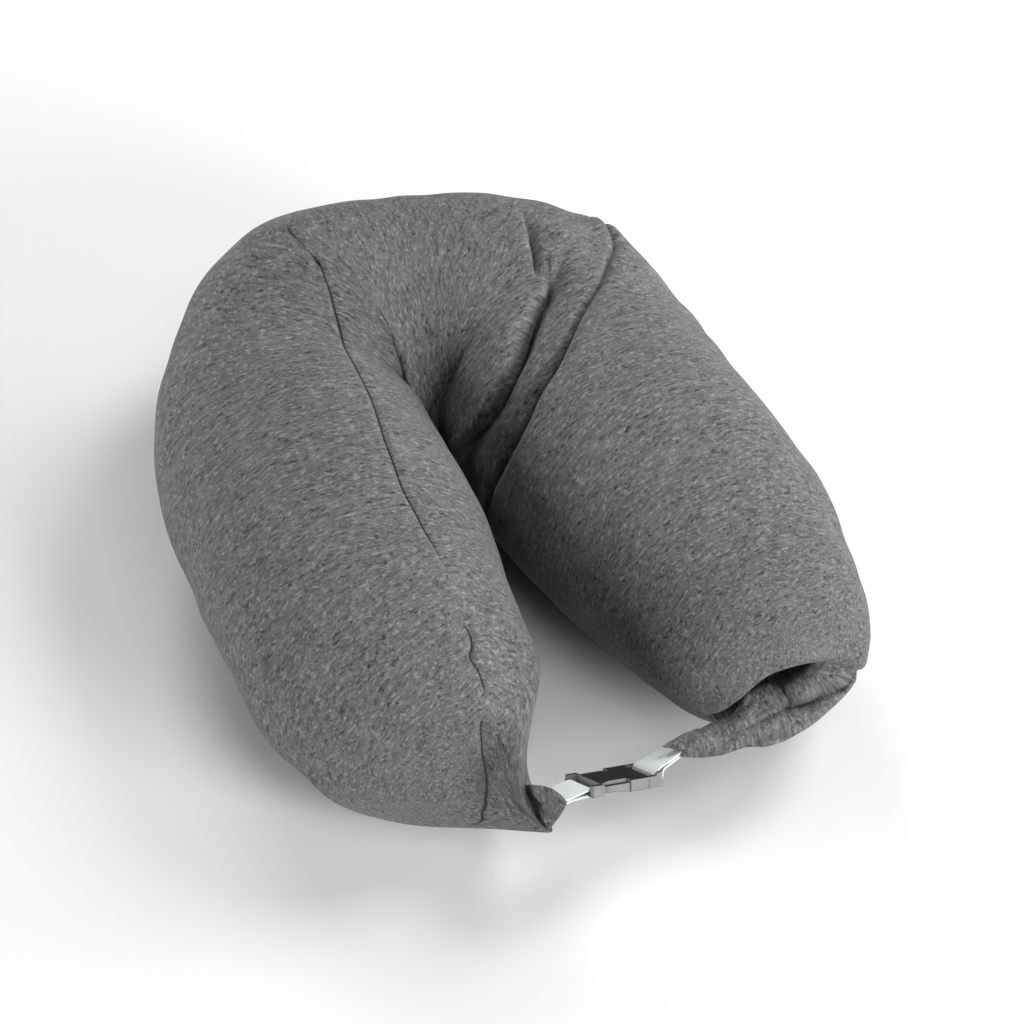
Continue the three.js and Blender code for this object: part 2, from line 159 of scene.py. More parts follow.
def crowd(s, deg, table, k=0.7, w=8.0, r=75.0):
    """Draws the grid's lines together beside a crease (rows: along, angle, ...), so that it can be sharp."""
    t = catmull(table[:, :2], 10 * len(table))
    q = np.stack([t[:, 0], np.radians(t[:, 1]) * r], -1)
    mid = t[:, 1].mean()
    p = np.stack([s, np.radians((deg - mid + 180) % 360 - 180 + mid) * r], -1)
    near = ((p > q.min(0) - 3 * w) & (p < q.max(0) + 3 * w)).all(-1)
    pts = p[near]
    best = np.full(len(pts), 1e9); where = np.zeros(len(pts)); foot = np.zeros_like(pts)
    for i in range(len(q) - 1):
        seg = q[i + 1] - q[i]
        f = np.clip(((pts - q[i]) @ seg) / max(seg @ seg, 1e-9), 0, 1)
        at = q[i] + f[:, None] * seg
        d = ((pts - at) ** 2).sum(1)
        m = d < best
        best[m] = d[m]; where[m] = (i + f)[m] / (len(q) - 1); foot[m] = at[m]
    share = smooth(0, 0.15, where) * (1 - smooth(0.85, 1, where))
    f = 1 - k * share * np.exp(-best / w**2)
    new = foot + (pts - foot) * f[:, None]
    s, deg = s.copy(), deg.copy()
    s[near] = new[:, 0]
    deg[near] += np.degrees((new[:, 1] - pts[:, 1]) / r)
    return s, deg


def grid(rows, cols):
    """(s, angle) of every grid point. Rows crowd at the bends and the ends, columns on top and at the seam."""
    u = np.concatenate([np.linspace(0, 3, 400), np.linspace(3, LENGTH - 4, 3000)[1:], np.linspace(LENGTH - 4, LENGTH, 500)[1:]])
    r = line_at(u)[:, 2] * cap(u, LEFT_TIP, LEFT_BLUNT) * cap(LENGTH - u, RIGHT_TIP, RIGHT_BLUNT)
    step = np.hypot(np.diff(u), np.diff(r))
    mid = 0.5 * (u[1:] + u[:-1])
    weight = (1 + 1.6 * bump(mid - 452, 46) + 0.5 * bump(mid - 294, 16) + 0.7 * bump(mid - 25, 34)
              + 0.9 * smooth(LENGTH - 60, LENGTH - 10, mid))
    total = np.concatenate([[0], np.cumsum(step * weight)])
    row = np.interp(np.linspace(0, total[-1], rows + 2)[1:-1], total, u)
    phi = np.linspace(-180, 180, 4001)
    dens = 1 + 2.4 * bump(phi, 3.2) + 0.6 * bump(phi, 16) - 0.5 * bump(np.abs(phi) - 165, 55)
    tot = np.concatenate([[0], np.cumsum(0.5 * (dens[1:] + dens[:-1]))])
    col = np.interp(np.linspace(0, tot[-1], cols + 1)[:-1], tot, phi)
    deg = seam_angle(row)[:, None] + col[None, :]
    w = bump(row - 452, 66)
    s = row[:, None] + (bend_line(deg) - 452) * 0.9 * w[:, None]
    s = np.clip(s, row[:, None] - 70, row[:, None] + 70)
    for table, k, w in ((BEND_B, 0.62, 7.0), (BEND_A, 0.55, 6.0), (FOLD_1, 0.5, 5.0), (FOLD_2, 0.5, 4.0), (PUCKER_1, 0.5, 4.5)):
        s, deg = crowd(s, deg, table, k, w)
    return s, deg


C = lambda *rows: np.array(rows, float)

# the sharp right bend: the long crease's thin upper part, and the deep one beside it that the back leans over
BEND_B = C([398, 12, 0], [404, 24, 2.0], [410, 33, 3.4], [416, 40.5, 4.2], [423, 47, 4.2], [435, 66, 4.4], [449, 78.5, 4.4],
           [460, 88, 4.6], [474.5, 100, 5.4], [482, 110.5, 6.0], [486.7, 123, 8.5], [491, 132, 11], [493.5, 146, 13],
           [491.4, 162, 13], [488, 180, 8], [484, 200, 0])
BEND_A = C([424, 82, 0], [429, 89, 4.2], [435, 95.5, 7.4], [441, 101, 10.5], [447, 107, 14], [454, 113.5, 18], [461.5, 120.5, 21],
           [467, 130, 23], [470, 142, 24], [470, 157, 21], [468, 174, 12], [466, 190, 0])
FOLD_1 = C([391, 64, 0], [397, 72, 2.6], [402, 78, 4.8], [408, 85, 6.6], [414, 90, 7.0], [421, 94.5, 4.6], [427, 97.3, 1.4], [433, 100, 0])
FOLD_2 = C([419, 86, 0], [423, 88.8, 3.0], [429, 93.3, 4.4], [436, 97, 3.6], [444, 101, 0])
# the left bend: the pucker that the seam runs into
PUCKER_1 = C([301.5, 57, 0], [300.3, 61, 0.9], [298.8, 67, 1.6], [297.2, 72, 1.4], [295, 78, 0.6], [294, 83, 0.5], [292.5, 87.5, 1.0],
             [290.6, 91.5, 0.7], [286, 97, 0])


def normals(p):
    """Outward unit normals of a grid of points, closed round its columns."""
    du = np.empty_like(p)
    du[1:-1] = p[2:] - p[:-2]
    du[0], du[-1] = p[1] - p[0], p[-1] - p[-2]
    dv = np.roll(p, -1, 1) - np.roll(p, 1, 1)
    n = np.cross(dv, du)
    return n / np.maximum(np.linalg.norm(n, axis=-1, keepdims=True), 1e-9)


def near_line(p, s, deg, table, keep=16.0, wrap=True):
    """For grid points near the table's line (rows: along, angle, ...): mask, the vector from the line,
    the signed side and the line's other columns at the nearest place."""
    t = catmull(table, 24 * len(table))
    q = tube_point(t[:, 0], t[:, 1])
    flat = p.reshape(-1, 3)
    lo, hi = q.min(0) - keep, q.max(0) + keep
    idx = np.nonzero(((flat > lo) & (flat < hi)).all(1))[0]
    ss, dd = s.reshape(-1)[idx], deg.reshape(-1)[idx]
    ok = (ss > t[:, 0].min() - 45) & (ss < t[:, 0].max() + 45)
    idx, ss, dd = idx[ok], ss[ok], dd[ok]
    pts = flat[idx]
    best = np.full(len(idx), 1e9)
    where = np.zeros(len(idx))
    seg = q[1:] - q[:-1]
    l2 = (seg**2).sum(1)
    for k in range(len(seg)):
        v = pts - q[k]
        f = np.clip((v @ seg[k]) / max(l2[k], 1e-9), 0, 1)
        d = ((v - f[:, None] * seg[k]) ** 2).sum(1)
        m = d < best
        best[m], where[m] = d[m], k + f[m]
    ok = best < keep**2
    idx, where, pts, ss, dd = idx[ok], where[ok], pts[ok], ss[ok], dd[ok]
    k = np.arange(len(t))
    at = lambda v: np.interp(where, k, v)
    foot = np.stack([at(q[:, j]) for j in range(3)], -1)
    ls, ld = at(t[:, 0]), at(t[:, 1])
    angle = (dd - ld + 180) % 360 - 180
    cols = [at(t[:, j]) for j in range(2, t.shape[1])]
    return idx, pts - foot, ss - ls, angle, cols


class Cloth:
    """Displacements gathered on a grid of points."""

    def __init__(self, p, s, deg):
        self.p, self.s, self.deg = p, s, deg
        self.n = normals(p)
        self.move = np.zeros_like(p)

    def crease(self, table, axis="s", neg=(5.0, 2.0), pos=(5.0, 2.0), lip=(0, 0, 1), lip_pos=(0, 0, 1), push=(0, 0, 1), flip=False):
        """Draws the cloth in along a line. table rows: along, angle, depth. neg and pos are (width, power) on the side of
        smaller and larger along (or angle). lip is (height, distance, width) of the fullness beside it on the small side,
        lip_pos on the other. push is (reach, distance, width): the small side leans over the crease."""
        idx, v, ds, da, (depth,) = near_line(self.p, self.s, self.deg, table, keep=30.0)
        n = self.n.reshape(-1, 3)[idx]
        v = v - (v * n).sum(1, keepdims=True) * n
        d = np.linalg.norm(v, axis=1)
        side = np.sign(ds if axis == "s" else da)
        small = side < 0
        ref = max(abs(table[:, 2]).max(), 1e-6)
        share = depth / ref
        w = np.where(small, neg[0], pos[0])
        pw = np.where(small, neg[1], pos[1])
        fall = np.exp(-((d / w) ** pw))
        out = -depth * fall
        out += np.where(small, lip[0] * bump(d - lip[1], lip[2]), lip_pos[0] * bump(d - lip_pos[1], lip_pos[2])) * share
        total = out[:, None] * n
        if push[0]:
            t = -v / np.maximum(d, 1e-6)[:, None]
            total += np.where(small, push[0] * bump(d - push[1], push[2]) * smooth(0, 1.5, d), 0)[:, None] * share[:, None] * t
        flat = self.move.reshape(-1, 3)
        flat[idx] += total
        return idx, d * side

    def dimple(self, s, deg, depth, along, around, turn=0.0):
        """An oval hollow (or swelling) on the tube."""
        q = tube_point(s, deg)
        e = 1.0
        ts = tube_point(s + e, deg) - tube_point(s - e, deg)
        ta = tube_point(s, deg + e) - tube_point(s, deg - e)
        ts, ta = ts / np.linalg.norm(ts), ta / np.linalg.norm(ta)
        c, k = math.cos(math.radians(turn)), math.sin(math.radians(turn))
        v = self.p - q
        a, b = v @ ts, v @ ta
        a, b = c * a + k * b, -k * a + c * b
        f = np.exp(-((a / along) ** 2) - (b / around) ** 2) * (np.linalg.norm(v, axis=-1) < 4 * max(along, around))
        self.move -= (depth * f)[..., None] * self.n


def modes(seed, count, low, high):
    """Fixed random waves for unevenness: wave vectors and phases."""
    rng = np.random.RandomState(seed)
    d = rng.normal(size=(count, 3))
    d /= np.linalg.norm(d, axis=1, keepdims=True)
    wave = rng.uniform(low, high, count)
    return d * (2 * math.pi / wave)[:, None], rng.uniform(0, 2 * math.pi, count)


def uneven(p, seed, count, low, high):
    k, ph = modes(seed, count, low, high)
    return np.sin(p @ k.T + ph).sum(-1) / math.sqrt(count / 2)


ROWS, COLS = 396, 250
S, DEG = grid(ROWS, COLS)
base = tube_point(S, DEG)
cloth = Cloth(base, S, DEG)

# --- the bead filling's unevenness
soft = smooth(4, 30, base[..., 2])
cloth.move += ((0.4 * uneven(base, 3, 14, 55, 110) + 0.2 * uneven(base, 5, 26, 20, 38)) * soft)[..., None] * cloth.n
# fullness and flatness of the filled tube here and there: along, angle, outward, extent along, extent around
for s0, d0, out, ext, around in ((411, 39, 5.6, 13, 13), (420, 36, 1.6, 16, 14), (437, 29, -1.8, 14, 14), (482, 27, 2.2, 20, 16),
                                 (398, 42, 1.6, 14, 14), (644, 19, -3.4, 20, 22), (302, 40, 1.0, 16, 14), (565, 208, 1.2, 30, 14),
                                 (585, 22, 1.2, 26, 16), (10, 310, -2.0, 14, 16), (333, 45, 0.8, 20, 14), (520, 20, -0.8, 24, 14)):
    cloth.dimple(s0, d0, -out, ext, around)

# --- the sharp right bend
cloth.crease(BEND_A, neg=(2.6, 2.2), pos=(9.5, 1.3), lip=(2.4, 8, 7), push=(6.0, 4, 5))
cloth.crease(BEND_B, neg=(1.7, 1.1), pos=(1.5, 1.2), lip=(1.0, 5, 3.5), lip_pos=(1.2, 6, 4.5))
cloth.crease(C([478, 104, 0], [484, 114, 3.5], [488, 125, 6], [492, 139, 8], [493, 155, 9], [490, 175, 5], [486, 195, 0]),
             neg=(5, 1.7), pos=(3.0, 1.4))
cloth.crease(C([396, 30, 0], [407, 42, 2.2], [420, 60, 2.0], [444, 82, 1.6], [470, 104, 2.0], [482, 122, 3], [490, 144, 5], [492, 170, 3], [488, 195, 0]),
             neg=(11, 2), pos=(10, 2))
# the upper end's corner
cloth.crease(C([403, 26, 0], [407, 32, 2.2], [411, 37, 2.4], [415, 41, 0]), neg=(1.4, 1.3), pos=(1.6, 1.3))
cloth.crease(C([414, 44, 0], [409, 40, 1.6], [404, 37, 1.8], [399, 35, 0]), neg=(2.0, 1.5), pos=(2.4, 1.5))
# short folds in the back beside it
cloth.crease(FOLD_1, neg=(1.9, 1.4), pos=(3.2, 1.5), lip=(1.3, 5, 4), push=(2.2, 3, 3))
cloth.crease(FOLD_2, neg=(1.4, 1.3), pos=(2.2, 1.5), lip_pos=(0.9, 4, 3))
cloth.crease(C([415, 71, 0], [421, 78, 1.8], [427, 85, 2.6], [434, 92, 2.8], [441, 97.5, 2.0], [448, 102, 0]), neg=(2.6, 1.5), pos=(5.5, 1.7))
# drawn cloth in the fold between the two long creases
cloth.crease(C([449, 92, 0], [459, 99, 0.9], [469, 106.5, 1.1], [476, 113, 0]), neg=(2.4, 1.7), pos=(2.8, 1.7))
cloth.crease(C([476, 107, 0], [481, 116, 1.2], [484.5, 127, 1.4], [487, 140, 0]), neg=(2.2, 1.7), pos=(2.2, 1.7))
cloth.crease(C([455, 82, 0], [466, 92, 0.8], [478, 103, 0.9], [488, 114, 0]), neg=(3.0, 1.7), pos=(4.5, 1.7))

# --- the left bend
cloth.crease(PUCKER_1, neg=(1.7, 1.3), pos=(2.0, 1.4), lip=(0.4, 4.5, 3), lip_pos=(0.8, 3.6, 2.2))
cloth.crease(C([303.5, 60, 0], [302.5, 65, 1.1], [301, 70, 1.5], [298.6, 77, 0.8], [297, 82, 0]), neg=(1.6, 1.4), pos=(2.6, 1.5))
cloth.dimple(291, 90, 1.4, 2.6, 3.4)

# --- the arms' small wrinkles
cloth.crease(C([614, 78, 0], [620, 82, 1.3], [626, 88, 1.6], [632, 94, 0]), neg=(2.4, 1.6), pos=(3.2, 1.7), lip=(0.5, 6, 4))
cloth.crease(C([560, 86, 0], [568, 94, 0.8], [573, 106, 0.9], [576, 118, 0]), neg=(3.2, 1.8), pos=(4.2, 1.8))
cloth.crease(C([560, 40, 0], [575, 44, 0.9], [590, 48, 0]), neg=(4, 1.8), pos=(5, 1.8))
cloth.crease(C([598, 30, 0], [610, 34, 1.0], [622, 39, 0]), neg=(3, 1.8), pos=(5, 1.8))

# --- the seam, and how it draws the cloth in
idx_seam, _ = cloth.crease(np.column_stack([SEAM[:, 0], SEAM[:, 1], 1.15 * SEAM[:, 2]]), axis="a", neg=(1.5, 1.2), pos=(1.5, 1.2),
                           lip=(0.3, 4.2, 2.5), lip_pos=(0.3, 4.2, 2.5))
cloth.dimple(40, 128, 2.2, 3.0, 5.0, 10)
cloth.dimple(43, 105, 1.6, 2.4, 10.0, -8)
cloth.dimple(37, 125, -1.0, 3.5, 6.0)
cloth.dimple(13, 145, 1.8, 4.0, 9.0)
cloth.dimple(20, 150, -1.0, 5.0, 12.0)
cloth.dimple(24, 136, 1.2, 3.0, 8.0)

moved = base + cloth.move
# the back's inner side is full and even where it is pressed together
even = bump(np.linalg.norm(base - [-28.5, 20.0, 113.0], axis=-1), 13.0)[..., None] * 0.5
even[:2] = even[-2:] = 0
for _ in range(160):
    avg = 0.25 * (np.roll(moved, 1, 0) + np.roll(moved, -1, 0) + np.roll(moved, 1, 1) + np.roll(moved, -1, 1))
    moved = moved + even * (avg - moved)

# signed distance from the seam, for the painted shade along it in the material
seam_d = np.full(S.size, 10.0)
idx, v, ds, da, (share,) = near_line(moved, S, DEG, SEAM, keep=9.0)
nn = cloth.n.reshape(-1, 3)[idx]
v = v - (v * nn).sum(1, keepdims=True) * nn
seam_d[idx] = np.linalg.norm(v, axis=1) * np.sign(da)
seam_share = np.zeros(S.size)
seam_share[idx] = np.clip(share, 0, 1)

# --- the left end's cloth is drawn out into a flat fold over its tail
def drag(p, src, dst, width):
    """Draws a surface by landmarks: the src points go to dst, and the rest follows smoothly."""
    g = np.exp(-((src[:, None] - src[None]) ** 2).sum(-1) / width**2)
    w = np.linalg.solve(g + 1e-4 * np.eye(len(src)), dst - src)
    out = p.copy()
    near = np.linalg.norm(p - src.mean(0), axis=-1) < 150
    q = p[near]
    out[near] = q + np.exp(-((q[:, None] - src[None]) ** 2).sum(-1) / width**2) @ w
    return out


MARKS = np.array([  # from, to
    [-76, -175, 52, -96.2, -208.2, 67.4], [-96, -182, 32, -91.3, -224.7, 47.6], [-106, -183.5, 26, -102.7, -208.4, 34.8],
    [-114, -183, 23, -111.9, -191.9, 20.4], [-121, -182, 21, -119.5, -185.5, 17], [-107, -188.5, 62, -107, -188.5, 62],
    [-130.5, -187.4, 50, -130.5, -187.4, 50], [-135, -178, 20, -135, -178, 20], [-100, -178, 93, -100, -178, 93],
    [-72, -163, 66, -72, -163, 66], [-70, -150, 40, -70, -150, 40], [-95, -150, 5, -95, -150, 5]])
before_drag = moved.copy()
moved = drag(moved, MARKS[:, :3], MARKS[:, 3:], 24.0)
FRONTWARD = np.array([-0.2818, -0.5777, 0.7660])
TAUT = np.array([  # place, how far it comes out to the front
    [-102.2, -196.3, 60.9, 2.2], [-98.5, -205.3, 70.3, -3.0], [-105.0, -202.0, 53.1, 2.6], [-101.3, -205.6, 55.4, 3.4],
    [-99.1, -212.1, 62.6, -2.5], [-98.0, -193.2, 71.1, 0.5], [-105.7, -208.9, 43.6, 0.5], [-96.0, -216.7, 58.1, -1.0],
    [-96.0, -222.3, 51.8, 0.0], [-105.9, -192.8, 58.6, 0.0], [-90.3, -188.4, 77.0, 0.5], [-108.9, -198.9, 51.4, 0.0]])
moved = drag(moved, TAUT[:, :3], TAUT[:, :3] + TAUT[:, 3:] * FRONTWARD, 10.0)

# --- the right end's mouth, out of which its tail comes (outline in x, z)
def poly_sd(x, y, poly):
    """Signed distance to a closed outline, negative inside."""
    a = np.asarray(poly, float); b = np.roll(a, -1, 0)
    d2 = np.full(x.shape, 1e9); inside = np.zeros(x.shape, bool)
    for (ax, ay), (cx, cy) in zip(a, b):
        ex, ey = cx - ax, cy - ay
        t = np.clip(((x - ax) * ex + (y - ay) * ey) / max(ex * ex + ey * ey, 1e-9), 0, 1)
        d2 = np.minimum(d2, (x - ax - t * ex) ** 2 + (y - ay - t * ey) ** 2)
        inside ^= ((ay > y) != (cy > y)) & (x < ex * (y - ay) / (ey if ey else 1e-9) + ax)
    return np.where(inside, -1, 1) * np.sqrt(d2)


MOUTH = [(11.5, 47), (12, 54), (14.4, 61.5), (18.2, 68.8), (23, 75), (27.2, 80.3), (30.7, 83.8), (34.8, 86), (39.1, 87), (45.2, 87),
         (51.6, 86), (57, 84.2), (63.3, 81), (72.5, 75), (80.9, 67.5), (87.3, 61.1), (92, 55), (92, 44), (78, 37), (50, 35), (24, 36), (14, 41)]
end = (S > LENGTH - 90) & (cloth.n[..., 1] < -0.1)
rim = np.where(end, poly_sd(moved[..., 0], moved[..., 2], MOUTH), 50.0)
deep = 34 - 16 * smooth(56, 80, moved[..., 0])
upper_edge = smooth(50, 66, moved[..., 2])
moved[..., 1] += deep * smooth(0.0, 13.0, -rim) - 3.2 * bump(rim - 3.0, 4.5) * upper_edge * (rim < 40)
moved[..., 2] += -0.6 * bump(rim - 1.0, 3.5) * upper_edge
# its hem stands out at the right corner, over the tail
CORNER = np.array([  # from, to (right, up and forward)
    [169.0, -71.5, 150.0, 174.5, -76.0, 152.0], [176.8, -64.7, 135.3, 180.0, -68.0, 140.0], [163.1, -71.1, 157.5, 165.0, -72.6, 158.0],
    [152.1, -73.1, 167.8, 152.6, -73.1, 167.8], [177.0, -50.0, 128.0, 177.4, -50.4, 128.0]])
TO_FLAT = np.array([[0.8988, -0.4384, 0.0], [0.3358, 0.6885, 0.6427], [-0.2818, -0.5777, 0.7660]])
moved = drag(moved, CORNER[:, :3] @ TO_FLAT, CORNER[:, 3:] @ TO_FLAT, 12.0)

moved[..., 2] = np.maximum(moved[..., 2], 0.02)


def mesh_from_grid(name, p, first, last, uv, extra=None, uv2=None, uv3=None):
    """Closed mesh over a grid of points with a point at each end. uv is per grid column + 1."""
    n, m = p.shape[:2]
    verts = np.vstack([p.reshape(-1, 3), first, last])
    i, j = np.meshgrid(np.arange(n - 1), np.arange(m), indexing="ij")
    k = (j + 1) % m
    quads = np.stack([i * m + j, i * m + k, (i + 1) * m + k, (i + 1) * m + j], -1).reshape(-1, 4)
    jj = np.arange(m); kk = (jj + 1) % m
    t0 = np.stack([np.full(m, n * m), kk, jj], -1)
    t1 = np.stack([np.full(m, n * m + 1), (n - 1) * m + jj, (n - 1) * m + kk], -1)
    loops = np.concatenate([quads.ravel(), t0.ravel(), t1.ravel()])
    starts = np.concatenate([np.arange(len(quads)) * 4, len(quads) * 4 + np.arange(2 * m) * 3])
    me = bpy.data.meshes.new(name)
    me.vertices.add(len(verts)); me.loops.add(len(loops)); me.polygons.add(len(starts))
    me.vertices.foreach_set("co", ((verts + OFF) / 1000).astype(np.float32).ravel())
    me.loops.foreach_set("vertex_index", loops.astype(np.int32))
    me.polygons.foreach_set("loop_start", starts.astype(np.int32))
    me.polygons.foreach_set("use_smooth", np.ones(len(starts), bool))
    me.update(calc_edges=True)
    u = uv  # (n, m + 1, 2)
    quad_uv = np.stack([u[:-1, :-1], u[:-1, 1:], u[1:, 1:], u[1:, :-1]], 2).reshape(-1, 2)
    c0 = np.stack([0.5 * (u[0, :-1] + u[0, 1:]), u[0, 1:], u[0, :-1]], 1).reshape(-1, 2)
    c1 = np.stack([0.5 * (u[-1, :-1] + u[-1, 1:]), u[-1, :-1], u[-1, 1:]], 1).reshape(-1, 2)
    layer = me.uv_layers.new(name="flow")
    layer.data.foreach_set("uv", np.concatenate([quad_uv, c0, c1]).astype(np.float32).ravel())
    if uv2 is not None:
        u = uv2
        q = np.stack([u[:-1, :-1], u[:-1, 1:], u[1:, 1:], u[1:, :-1]], 2).reshape(-1, 4, 2)
        lap = 2 * math.pi * 0.7
        q[..., 1] += lap * np.round((q[:, :1, 1] - q[..., 1]) / lap)
        d0 = np.stack([0.5 * (u[0, :-1] + u[0, 1:]), u[0, 1:], u[0, :-1]], 1).reshape(-1, 2)
        d1 = np.stack([0.5 * (u[-1, :-1] + u[-1, 1:]), u[-1, :-1], u[-1, 1:]], 1).reshape(-1, 2)
        layer = me.uv_layers.new(name="end_flow")
        layer.data.foreach_set("uv", np.concatenate([q.reshape(-1, 2), d0, d1]).astype(np.float32).ravel())
    if uv3 is not None:
        u = uv3
        q = np.stack([u[:-1, :-1], u[:-1, 1:], u[1:, 1:], u[1:, :-1]], 2).reshape(-1, 2)
        d0 = np.stack([0.5 * (u[0, :-1] + u[0, 1:]), u[0, 1:], u[0, :-1]], 1).reshape(-1, 2)
        d1 = np.stack([0.5 * (u[-1, :-1] + u[-1, 1:]), u[-1, :-1], u[-1, 1:]], 1).reshape(-1, 2)
        layer = me.uv_layers.new(name="bend_flow")
        layer.data.foreach_set("uv", np.concatenate([q, d0, d1]).astype(np.float32).ravel())
    for key, value in (extra or {}).items():
        att = me.attributes.new(key, "FLOAT", "POINT")
        full = np.concatenate([value.ravel(), [value.ravel()[0], value.ravel()[-1]]])
        att.data.foreach_set("value", full.astype(np.float32))
    me.validate()
    ob = bpy.data.objects.new(name, me)
    bpy.context.scene.collection.objects.link(ob)
    bm = bmesh.new(); bm.from_mesh(me)
    bmesh.ops.recalc_face_normals(bm, faces=bm.faces)
    bm.to_mesh(me); bm.free()
    return ob


# how the knit runs: true length along the tube, and round it
u = np.linspace(0, LENGTH, 6000)
r = line_at(u)[:, 2] * cap(u, LEFT_TIP, LEFT_BLUNT) * cap(LENGTH - u, RIGHT_TIP, RIGHT_BLUNT)
arc = np.concatenate([[0], np.cumsum(np.hypot(np.diff(u), np.diff(r)))])
degs = np.concatenate([DEG, DEG[:, :1] + 360], 1)
rr = 75 * math.pi / 180
uv = np.stack([np.interp(np.concatenate([S, S[:, :1]], 1), u, arc) / 100, degs * rr / 100], -1)
# where the inner side of a bend is pressed together the knit keeps its size
def knit_at(s, deg):
    """Two directions in the surface there: along, and round the tube."""
    n = np.cross(tube_point(s, deg + 2) - tube_point(s, deg - 2), tube_point(s + 3, deg) - tube_point(s - 3, deg))
    f2 = tube_point(s, deg + 6) - tube_point(s, deg - 6)
    n, f2 = n / np.linalg.norm(n), f2 / np.linalg.norm(f2)
    return np.cross(f2, n), f2


start = 118 - 32 * smooth(385, 420, S)
at_bend = smooth(262, 276, S) * (1 - smooth(500, 524, S)) * smooth(start, start + 12, DEG) * (1 - smooth(205, 235, DEG))
inner = [knit_at(272, 125), knit_at(350, 122), knit_at(428, 118), knit_at(506, 118)]
where = [S < 295, S < 392, S < bend_line(DEG)]
run, round_ = [np.select(where, [moved @ e[i] for e in inner[:3]], moved @ inner[3][i]) for i in (0, 1)]
bend_uv = np.stack([np.concatenate([run, run[:, :1]], 1), np.concatenate([round_, round_[:, :1]], 1)], -1) / 100
# left of the seam the left end's knit curves round the place where its tail is gathered
GATHER = np.array([-94.0, -214.0, 45.0])
ax = np.array([-32.0, 96.0, 27.0]); ax /= np.linalg.norm(ax)
ux = np.cross(ax, [0, 0, 1.0]); ux /= np.linalg.norm(ux)
ur = np.cross(ux, ax)
gv = moved - GATHER
away = np.linalg.norm(gv, axis=-1)
turn = np.arctan2(gv @ ux, gv @ ur)
turn = np.concatenate([turn, turn[:, :1]], 1)
away = np.concatenate([away, away[:, :1]], 1)
uv2 = np.stack([away / 100, turn * 0.7], -1)
side = (DEG - np.interp(S, SEAM[4:31, 0], SEAM[4:31, 1]) + 180) % 360 - 180
at_end = smooth(104, 66, S) * smooth(3, -3, side) * smooth(-176, -150, side)
pole0 = moved[0].mean(0); pole1 = moved[-1].mean(0)
body = mesh_from_grid("pillow", moved, pole0, pole1, uv, {"seam": seam_d, "seam_share": seam_share, "at_end": at_end, "at_bend": at_bend},
                      uv2, bend_uv)

# ------------------------------------------------------------------ materials
def nodes_of(mat):
    mat.use_nodes = True
    nt = mat.node_tree
    for n in list(nt.nodes):
        nt.nodes.remove(n)
    return nt


class N:
    """Short way to wire shader nodes."""

    def __init__(self, nt):
        self.nt = nt

    def new(self, kind, **kw):
        n = self.nt.nodes.new(kind)
        for k, v in kw.items():
            setattr(n, k, v)
        return n

    def link(self, a, b):
        self.nt.links.new(a, b)

    def put(self, sock, v):
        if isinstance(v, bpy.types.NodeSocket):
            self.link(v, sock)
        else:
            sock.default_value = v

    def math(self, op, a, b=0.0, c=None, clamp=False):
        n = self.new("ShaderNodeMath", operation=op, use_clamp=clamp)
        self.put(n.inputs[0], a); self.put(n.inputs[1], b)
        if c is not None:
            self.put(n.inputs[2], c)
        return n.outputs[0]

    def vmath(self, op, a, b=None, scale=None):
        n = self.new("ShaderNodeVectorMath", operation=op)
        self.put(n.inputs[0], a)
        if b is not None:
            self.put(n.inputs[1], b)
        if scale is not None:
            self.put(n.inputs[3], scale)
        return n.outputs[0]

    def noise(self, vec, scale, detail=2.0, rough=0.5, distort=0.0, dims="3D"):
        n = self.new("ShaderNodeTexNoise", noise_dimensions=dims)
        self.put(n.inputs["Vector"], vec)
        n.inputs["Scale"].default_value = scale
        n.inputs["Detail"].default_value = detail
        n.inputs["Roughness"].default_value = rough
        n.inputs["Distortion"].default_value = distort
        return n

    def maprange(self, v, a, b, c=0.0, d=1.0, smoothstep=True):
        n = self.new("ShaderNodeMapRange")
        n.interpolation_type = "SMOOTHSTEP" if smoothstep else "LINEAR"
        self.put(n.inputs["Value"], v)
        for key, val in (("From Min", a), ("From Max", b), ("To Min", c), ("To Max", d)):
            self.put(n.inputs[key], val)
        return n.outputs["Result"]

    def mix(self, fac, a, b):
        n = self.new("ShaderNodeMix", data_type="RGBA")
        self.put(n.inputs[0], fac); self.put(n.inputs[6], a); self.put(n.inputs[7], b)
        return n.outputs[2]

    def combine(self, x, y, z=0.0):
        n = self.new("ShaderNodeCombineXYZ")
        self.put(n.inputs[0], x); self.put(n.inputs[1], y); self.put(n.inputs[2], z)
        return n.outputs[0]


